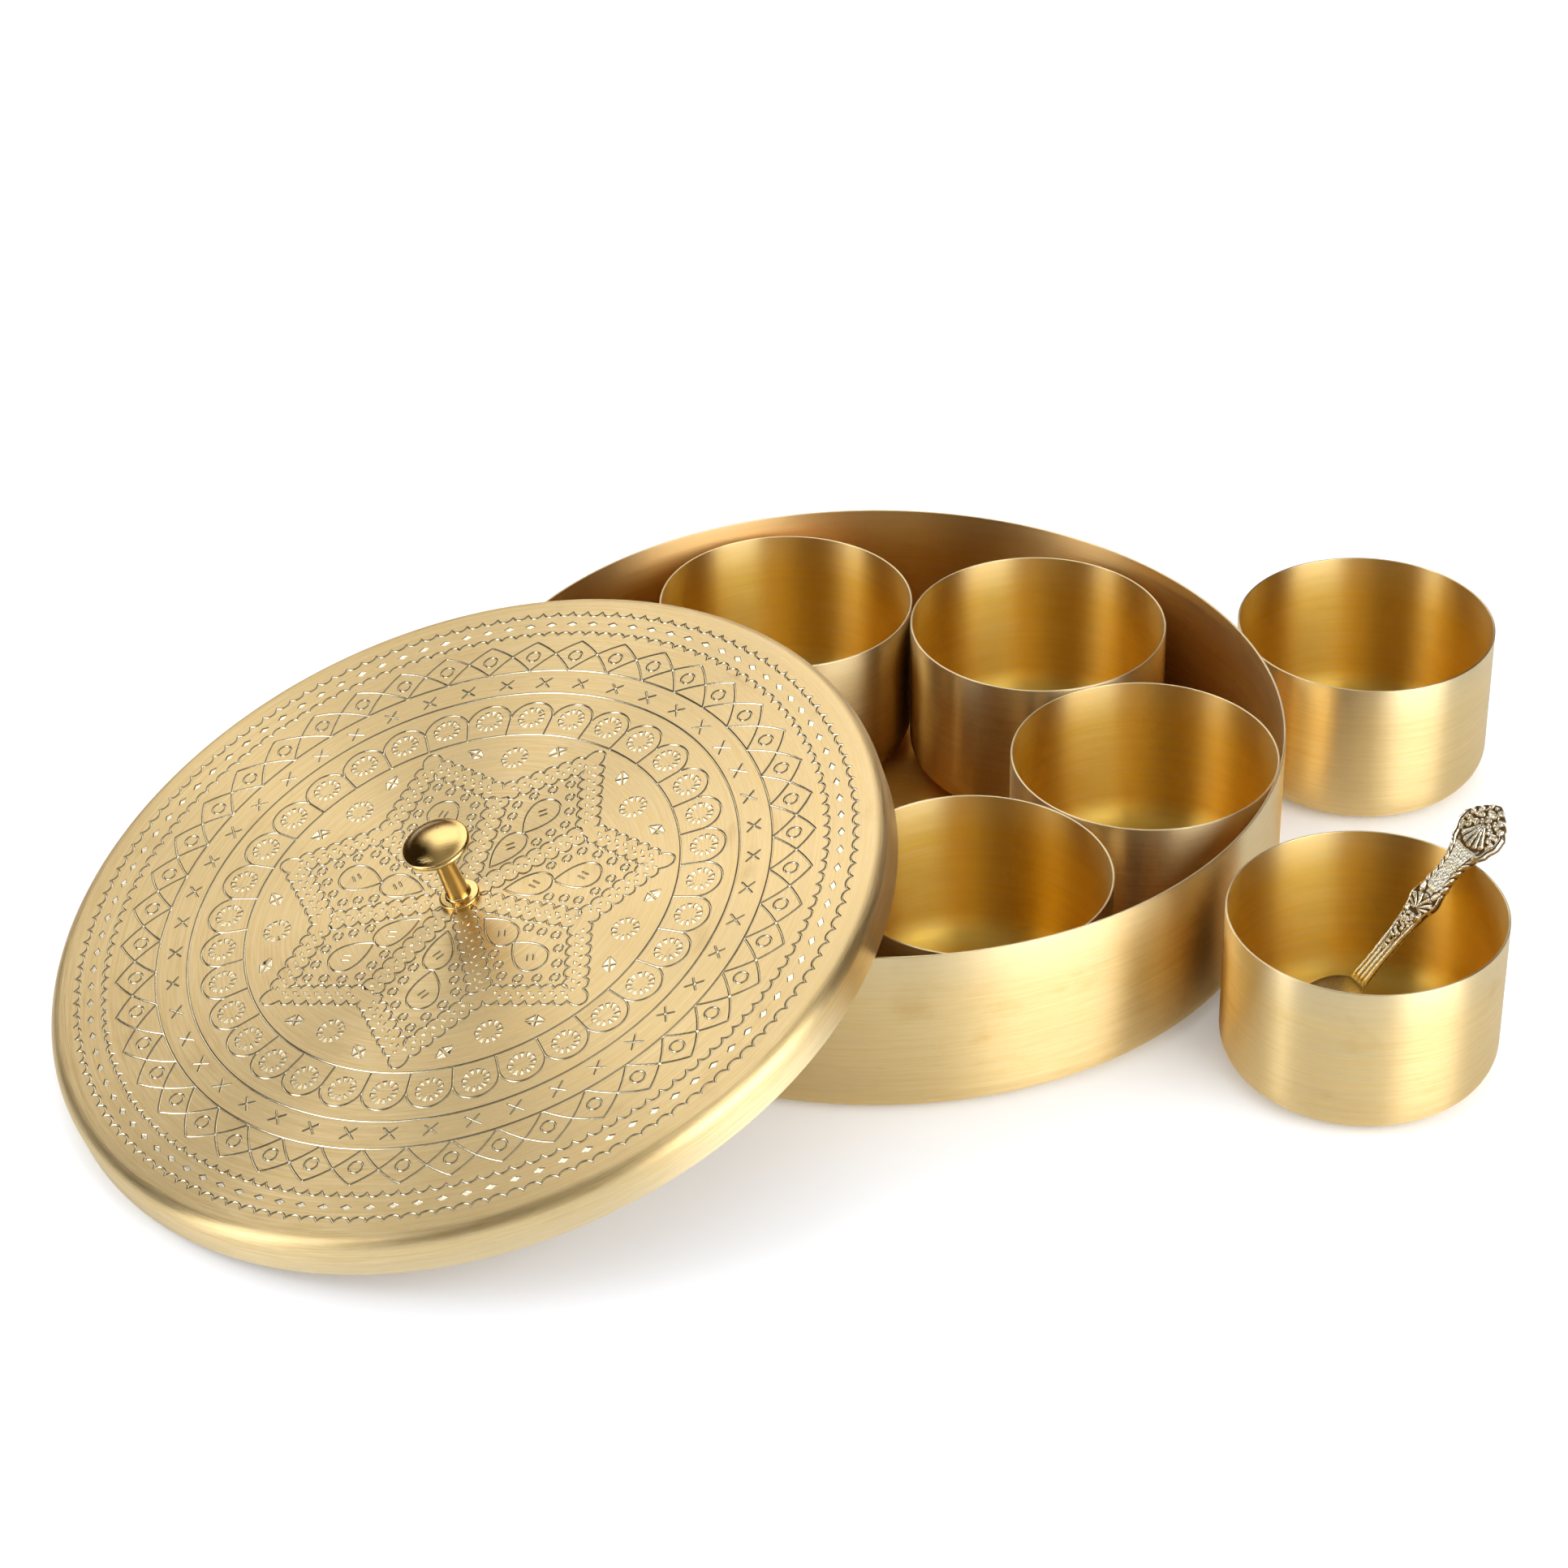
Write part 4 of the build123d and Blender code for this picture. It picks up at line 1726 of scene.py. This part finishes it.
@dataclass
class Spoon:
    """The ornamented spoon, lofted from the tip of its scoop to the top of its head."""

    widths: tuple[Point, ...] = (
        (0.0, 2.75),
        (2.0, 2.35),
        (9.0, 2.2),
        (16.0, 2.35),
        (20.0, 2.65),
        (23.5, 3.05),
        (27.4, 4.05),
        (31.0, 3.35),
        (35.0, 3.0),
        (38.5, 3.3),
        (41.0, 4.1),
        (44.0, 5.7),
        (47.2, 6.75),
        (49.2, 6.6),
        (51.2, 5.2),
        (52.8, 3.7),
        (54.2, 2.0),
        (55.1, 0.7),
    )
    top: float = 55.15
    thickness: float = 1.5
    edge_round: float = 0.4
    scoop_start: float = 2.4
    scoop_length: float = 26.0
    scoop_width: float = 17.0
    scoop_depth: float = 5.0
    scoop_sheet: float = 0.9
    scoop_drop: float = 19.0
    turn: float = 24.5
    roll: float = 14.0
    side: float = 7.9
    foot_height: float = 12.97
    reach: float = 29.1
    over_rim: float = 2.8
    ripple: float = 0.1
    ground: float = 0.3
    # How much darker the scoop is painted than the handle: painted shade
    scoop_painted_shade: float = 0.22
    handle_start: float = -0.8
    neck_ripple: Span = (30.5, 40.5, 1.0)
    crest_ripple: Span = (50.5, 54.5, 0.6)
    crest_pitch: float = 1.9
    tip_length: float = 0.4
    least_width: float = 0.02
    row_ease: float = 0.3
    cup_power: float = 0.55
    least_cup: float = 0.45
    hollow_run: Span = (0.6, BEYOND, 2.2)
    end_ease: float = 0.012
    end_gap: Point = (0.02, 0.03)
    worn_middle: float = 0.6
    worn_gains: Point = (4.2, 2.4)
    worn_reach: int = 4
    columns: int = 420
    rows: int = 64
    under_rows: int = 14
    merge: float = 0.005
    smooth_angle: float = 50.0
    ornament: SpoonOrnament = field(default_factory=SpoonOrnament)

    def scoop_share(self, x: float) -> float:
        """How wide the scoop's oval is at a place along it, from 0 at its ends to 1 at its middle."""
        half = self.scoop_length / 2
        off = (x - self.scoop_start + half) / half
        return math.sqrt(max(0.0, 1.0 - off * off))

    def half_width(self, x: float) -> float:
        """Half the spoon's width at a place along it."""
        scoop = self.scoop_share(x) * self.scoop_width / 2
        handle = along_stations(self.widths, x) if x > self.handle_start else 0.0
        ripple = math.cos(2 * math.pi * x / self.ornament.leaf_pitch) * window(x, *self.neck_ripple)
        ripple += math.cos(2 * math.pi * (x - 50.0) / self.crest_pitch) * window(x, *self.crest_ripple)
        tip = math.sqrt(max(0.0, (self.top - x) / self.tip_length)) if x > self.top - self.tip_length else 1.0
        return max(scoop, (handle + self.ripple * ripple) * min(1.0, tip), self.least_width)

    def across(self) -> list[float]:
        """The rows' places across the front, from -1 to 1, a little closer near the edges."""
        even = [2.0 * row / self.rows - 1.0 for row in range(self.rows + 1)]
        ease = self.row_ease
        return [(1.0 - ease) * share + ease * math.sin(share * math.pi / 2) for share in even]

    def section(self, x: float, reliefs: list[float]) -> list[tuple[float, float]]:
        """One cross-section: the front from side to side, then the back.

        Args:
            x: where it lies along the spoon.
            reliefs: the ornament's height at each row of the front.

        Returns:
            For each point how far it is from the middle line, and its height.
        """
        half = self.half_width(x)
        hollow = self.hollow(x)
        depth = self.scoop_share(x) * self.scoop_depth
        rise = self.thickness / 2
        points = []
        for share, relief in zip(self.across(), reliefs):
            corner = min(1.0, half * (1.0 - abs(share)) / self.edge_round)
            plate = rise - self.edge_round * (1.0 - math.sqrt(1.0 - (1.0 - corner) ** 2)) - self.ground
            cup = -max(0.0, depth - self.scoop_sheet) * max(0.0, 1.0 - share * share) ** self.cup_power
            points.append((share * half, (plate + relief * corner) * (1.0 - hollow) + cup * hollow))
        for row in range(self.under_rows + 1):
            share = math.cos(math.pi * row / self.under_rows)
            cup = -max(self.least_cup, depth * math.sqrt(max(0.0, 1.0 - share * share)))
            points.append((share * half, -rise * (1.0 - hollow) + cup * hollow))
        return points

    def hollow(self, x: float) -> float:
        """How far the handle has turned into the scoop at a place, from 0 to 1."""
        return window(self.scoop_start - x, *self.hollow_run)

    def worn(self, reliefs: list[list[float]]) -> list[list[float]]:
        """How brightly worn each place of the front is, by how it stands over what lies round it.

        Args:
            reliefs: the relief's height, a list for each column.

        Returns:
            The worn share in the same order.
        """
        result = []
        for column, heights in enumerate(reliefs):
            near = reliefs[max(0, column - self.worn_reach) : column + self.worn_reach + 1 : 2]
            line = []
            for row, height in enumerate(heights):
                rows = slice(max(0, row - self.worn_reach), row + self.worn_reach + 1, 2)
                round_it = [value for other in near for value in other[rows]]
                over = height - sum(round_it) / len(round_it)
                gain = self.worn_gains[0 if over < 0.0 else 1]
                line.append(min(1.0, max(0.0, self.worn_middle + gain * over)))
            result.append(line)
        return result

    def spine(self, x: float, height: float) -> tuple[float, float]:
        """Where a point above the spine lies: the scoop is set flatter than the handle.

        Args:
            x: how far along the spoon it is.
            height: its height above the spine.

        Returns:
            Its place along the handle's own line, and its height above that line.
        """
        off = x - self.scoop_start
        bend = math.radians(self.scoop_drop)
        if off >= 0.0:
            return x, height
        return (
            self.scoop_start + off * math.cos(bend) + height * math.sin(bend),
            height * math.cos(bend) - off * math.sin(bend),
        )

    def place(self) -> Matrix:
        """Where the handle's foot lies and how it leans on its bowl's rim, in millimetres."""
        low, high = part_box("bowl_outside_front")
        middle = (low + high) / 2 / MILLIMETRE
        along = math.sqrt(BOWL_RADIUS**2 - self.side**2) - self.reach
        rise = math.degrees(math.atan2(BOWL_HEIGHT + self.over_rim - self.foot_height, self.reach))
        stand = Matrix.Translation((middle.x, middle.y, 0.0)) @ turned_about("Z", self.turn)
        stand = stand @ Matrix.Translation((along, self.side, self.foot_height))
        return stand @ turned_about("Y", -rise) @ turned_about("X", self.roll)

    def build(self, material: bpy.types.Material) -> None:
        """Builds and dresses the spoon."""
        start = self.scoop_start - self.scoop_length
        steps = [column / self.columns for column in range(self.columns + 1)]
        eased = [share + self.end_ease * math.sin(2 * math.pi * share) for share in steps]
        first, both = self.end_gap
        columns = [start + first + (self.top - start - both) * share for share in eased]
        reliefs = []
        for x in columns:
            half, cast = self.half_width(x), 1.0 - self.hollow(x)
            reliefs.append([cast * self.ornament.height(x, share * half, half) for share in self.across()])
        vertices, worn = [], []
        for x, heights, line in zip(columns, reliefs, self.worn(reliefs)):
            for y, height in self.section(x, heights):
                along, above = self.spine(x, height)
                vertices.append((along, y, above))
            # The scoop, which lies inside its bowl, is painted darker on both faces: painted shade
            scoop = self.hollow(x) * self.scoop_painted_shade
            worn += [share - scoop for share in line] + [self.worn_middle - scoop] * (self.under_rows + 1)
        count = self.rows + self.under_rows + 2
        faces = []
        for column in range(self.columns):
            for index in range(count):
                after = (index + 1) % count
                first = column * count
                faces.append((first + index, first + after, first + count + after, first + count + index))
        faces += [tuple(range(count)), tuple(range(self.columns * count, (self.columns + 1) * count))]
        obj = new_piece("spoon_cast", vertices, faces)
        value_attribute(obj.data, WEAR_AND_PAINTED_LIGHT_ATTRIBUTE, worn)
        clean_mesh(obj, self.merge)
        smooth(obj, self.smooth_angle)
        place_piece(obj, self.place(), material)
        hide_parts("spoon")
        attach(obj, Body.SPOON.value)
        log.info("spoon: %d faces", len(obj.data.polygons))


# The studio


@dataclass(frozen=True)
class Softbox:
    """A soft rectangular lamp that faces the set.

    The azimuth is measured from the camera's side, to the right, and the elevation from the floor.
    """

    name: str
    azimuth: float
    elevation: float
    distance: float
    width: float
    height: float
    radiance: float

    def build(self, target: Vector) -> None:
        """Adds the lamp.

        Args:
            target: the point that it faces.
        """
        turn, rise = math.radians(self.azimuth), math.radians(self.elevation)
        level = math.cos(rise) * self.distance
        place = Vector((level * math.sin(turn), -level * math.cos(turn), math.sin(rise) * self.distance))
        data = bpy.data.lights.new(self.name, "AREA")
        data.shape = "RECTANGLE"
        data.size, data.size_y = self.width, self.height
        data.energy = math.pi * self.width * self.height * self.radiance
        lamp = bpy.data.objects.new(self.name, data)
        turned = (place - target).to_track_quat("Z", "Y").to_matrix().to_4x4()
        lamp.matrix_world = Matrix.Translation(place) @ turned
        bpy.context.scene.collection.objects.link(lamp)


@dataclass
class Studio:
    """The camera, the white floor, the soft lamps and the glowing walls that the metal reflects."""

    camera_place: tuple[float, float, float] = (-0.02241, -0.84732, 0.59521)
    camera_pitch: float = 0.5917
    camera_roll: float = -0.0169
    lens: float = 94.9
    sensor: float = 36.0
    nearest: float = 0.01
    lit_point: tuple[float, float, float] = (0.0, 0.0, 0.02)
    floor_size: float = 8.0
    floor_colour: Colour = (0.84, 0.87, 0.92)
    floor_in_metal: float = 0.75
    floor_lift: float = 0.12
    floor_roughness: float = 0.9
    sky: float = 1.0
    wall_radius: float = 2.6
    wall_height: float = 4.4
    wall_sides: int = 96
    ceiling: Colour = (0.34, 0.31, 0.26)
    # Glow of the walls by azimuth, seen only in reflections; their brown tint is a painted reflection of
    # brass in brass
    ceiling_shade: float = 0.8
    wall_colours: tuple[tuple[float, Colour], ...] = (
        (-180.0, (0.36, 0.33, 0.27)),
        (-140.0, (0.42, 0.38, 0.31)),
        (-115.0, (0.42, 0.38, 0.31)),
        (-95.0, (0.05, 0.035, 0.015)),
        (-50.0, (0.11, 0.055, 0.018)),
        (10.0, (0.11, 0.055, 0.018)),
        (60.0, (0.03, 0.02, 0.01)),
        (100.0, (0.015, 0.01, 0.005)),
        (150.0, (0.10, 0.09, 0.07)),
        (180.0, (0.36, 0.33, 0.27)),
    )
    softboxes: tuple[Softbox, ...] = (
        Softbox("softbox_right", 46.0, 22.0, 1.05, 0.78, 0.95, 3.3),
        Softbox("softbox_left", -66.0, 22.0, 1.3, 0.42, 1.2, 3.2),
        Softbox("softbox_above", -163.0, 50.0, 1.8, 1.5, 1.5, 1.5),
    )

    def build_camera(self) -> None:
        """Adds the camera at the photograph's viewing angle."""
        data = bpy.data.cameras.new("camera")
        data.lens = self.lens
        data.sensor_width = self.sensor
        data.clip_start = self.nearest
        camera = bpy.data.objects.new("camera", data)
        bpy.context.scene.collection.objects.link(camera)
        ahead = Vector((0.0, math.cos(self.camera_pitch), -math.sin(self.camera_pitch)))
        right = Vector((1.0, 0.0, 0.0))
        up = right.cross(ahead)
        roll = self.camera_roll
        across = math.cos(roll) * right + math.sin(roll) * up
        upward = math.cos(roll) * up - math.sin(roll) * right
        turn = Matrix((across, upward, -ahead)).transposed().to_4x4()
        camera.matrix_world = Matrix.Translation(self.camera_place) @ turn
        bpy.context.scene.camera = camera

    def build_floor(self) -> None:
        """Adds the white floor, which looks a little brighter than its light makes it."""
        bpy.ops.mesh.primitive_plane_add(size=self.floor_size, location=(0.0, 0.0, 0.0))
        floor = bpy.context.object
        floor.name = "floor"
        material, nodes, shader = new_material("white paper")
        glossy = nodes.add("ShaderNodeLightPath").outputs["Is Glossy Ray"]
        greyer = tuple(share * self.floor_in_metal for share in self.floor_colour)
        nodes.fill(
            shader,
            Base_Color=nodes.mix(glossy, self.floor_colour, greyer),
            Roughness=self.floor_roughness,
            Specular_IOR_Level=0.0,
            Emission_Color=WHITE,
            Emission_Strength=nodes.times(self.seen(nodes), self.floor_lift),
        )
        floor.data.materials.append(material)

    def build_walls(self) -> None:
        """Adds the glowing walls round the set, which only reflections see; their warm brown is a painted
        reflection of brass in brass.
        """
        bpy.ops.mesh.primitive_cylinder_add(
            vertices=self.wall_sides,
            radius=self.wall_radius,
            depth=self.wall_height,
            end_fill_type="NOTHING",
            location=(0.0, 0.0, self.wall_height / 2),
        )
        material, nodes, shader = new_material("wall glow and painted brass reflection")
        front_first = nodes.mapping(nodes.object_place(), Rotation=(0.0, 0.0, math.radians(-90.0)))
        gradient = nodes.fill(nodes.add("ShaderNodeTexGradient", gradient_type="RADIAL"), Vector=front_first)
        ramp = nodes.fill(nodes.add("ShaderNodeValToRGB"), Fac=gradient.outputs["Fac"])
        ramp.color_ramp.interpolation = "EASE"
        stops = ramp.color_ramp.elements
        while len(stops) < len(self.wall_colours):
            stops.new(0.5)
        for stop, (azimuth, colour) in zip(stops, self.wall_colours):
            stop.position = (azimuth + 180.0) / 360.0
            stop.color = (*colour, 1.0)
        nodes.fill(shader, Emission_Color=ramp.outputs["Color"])
        self.show_to_metal_only(bpy.context.object, "studio_walls", material)

    def build_ceiling(self) -> None:
        """Adds the ceiling over the walls, which only reflections see."""
        bpy.ops.mesh.primitive_circle_add(
            vertices=self.wall_sides,
            radius=self.wall_radius,
            fill_type="NGON",
            location=(0.0, 0.0, self.wall_height),
        )
        material, nodes, shader = new_material("grey ceiling")
        place = nodes.mapping(nodes.object_place(), Scale=(1.0, 1.0, 1.0))
        cloth = nodes.spread(nodes.noise(place, scale=1.5, detail=2.0, rough=0.5), 0.0, 1.0)
        darker = tuple(self.ceiling_shade * share for share in self.ceiling)
        nodes.fill(shader, Emission_Color=nodes.mix(cloth, self.ceiling, darker))
        self.show_to_metal_only(bpy.context.object, "studio_ceiling", material)

    def show_to_metal_only(self, obj: bpy.types.Object, name: str, material: bpy.types.Material) -> None:
        """Names a piece of the studio, gives it a material that only glows, and keeps it to reflections.

        Args:
            obj: the piece.
            name: its name.
            material: its glowing material, whose colour is already given.
        """
        obj.name = name
        obj.data.materials.append(material)
        nodes = Nodes(material.node_tree)
        shader = material.node_tree.nodes["Principled BSDF"]
        nodes.fill(shader, Base_Color=BLACK, Specular_IOR_Level=0.0, Emission_Strength=1.0)
        for kind in ("camera", "diffuse", "shadow", "transmission", "volume_scatter"):
            setattr(obj, f"visible_{kind}", False)

    def seen(self, nodes: Nodes) -> Socket:
        """Whether a ray is seen by the camera, directly or in metal or glass."""
        path = nodes.add("ShaderNodeLightPath")
        seen = nodes.math("MAXIMUM", path.outputs["Is Camera Ray"], path.outputs["Is Glossy Ray"])
        return nodes.math("MAXIMUM", seen, path.outputs["Is Transmission Ray"])

    def build_sky(self) -> None:
        """Makes the world white where it is seen, and as bright as the sky where it only lights."""
        world = bpy.data.worlds.new("white room")
        bpy.context.scene.world = world
        world.use_nodes = True
        nodes = Nodes(world.node_tree)
        strength = nodes.plus(nodes.times(self.seen(nodes), 1.0 - self.sky), self.sky)
        nodes.fill(world.node_tree.nodes["Background"], Color=WHITE, Strength=strength)

    def build(self) -> None:
        """Builds the studio."""
        self.build_camera()
        self.build_floor()
        self.build_walls()
        self.build_ceiling()
        self.build_sky()
        for softbox in self.softboxes:
            softbox.build(Vector(self.lit_point))
        bpy.context.scene.view_settings.view_transform = "Standard"


def main() -> None:
    """Builds the studio and every piece, and reports each one."""
    Studio().build()
    grain = TurnedGrain().build()
    smudges = Smudges().build()
    Box().build(BOX_FINISH.build(grain, smudges))
    Bowls().build(BOWL_FINISH.build(grain, smudges))
    lid = Lid()
    lid.build(LID_FINISH.build(grain, smudges))
    Knob().build(KNOB_FINISH.build(smudges), lid.place())
    Spoon().build(SPOON_FINISH.build(smudges))
    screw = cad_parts["knob_screw"]
    screw.data.materials.clear()
    screw.data.materials.append(SCREW_FINISH.build(smudges))
    log.info("all pieces are built")


if __name__ == "__main__":
    main()
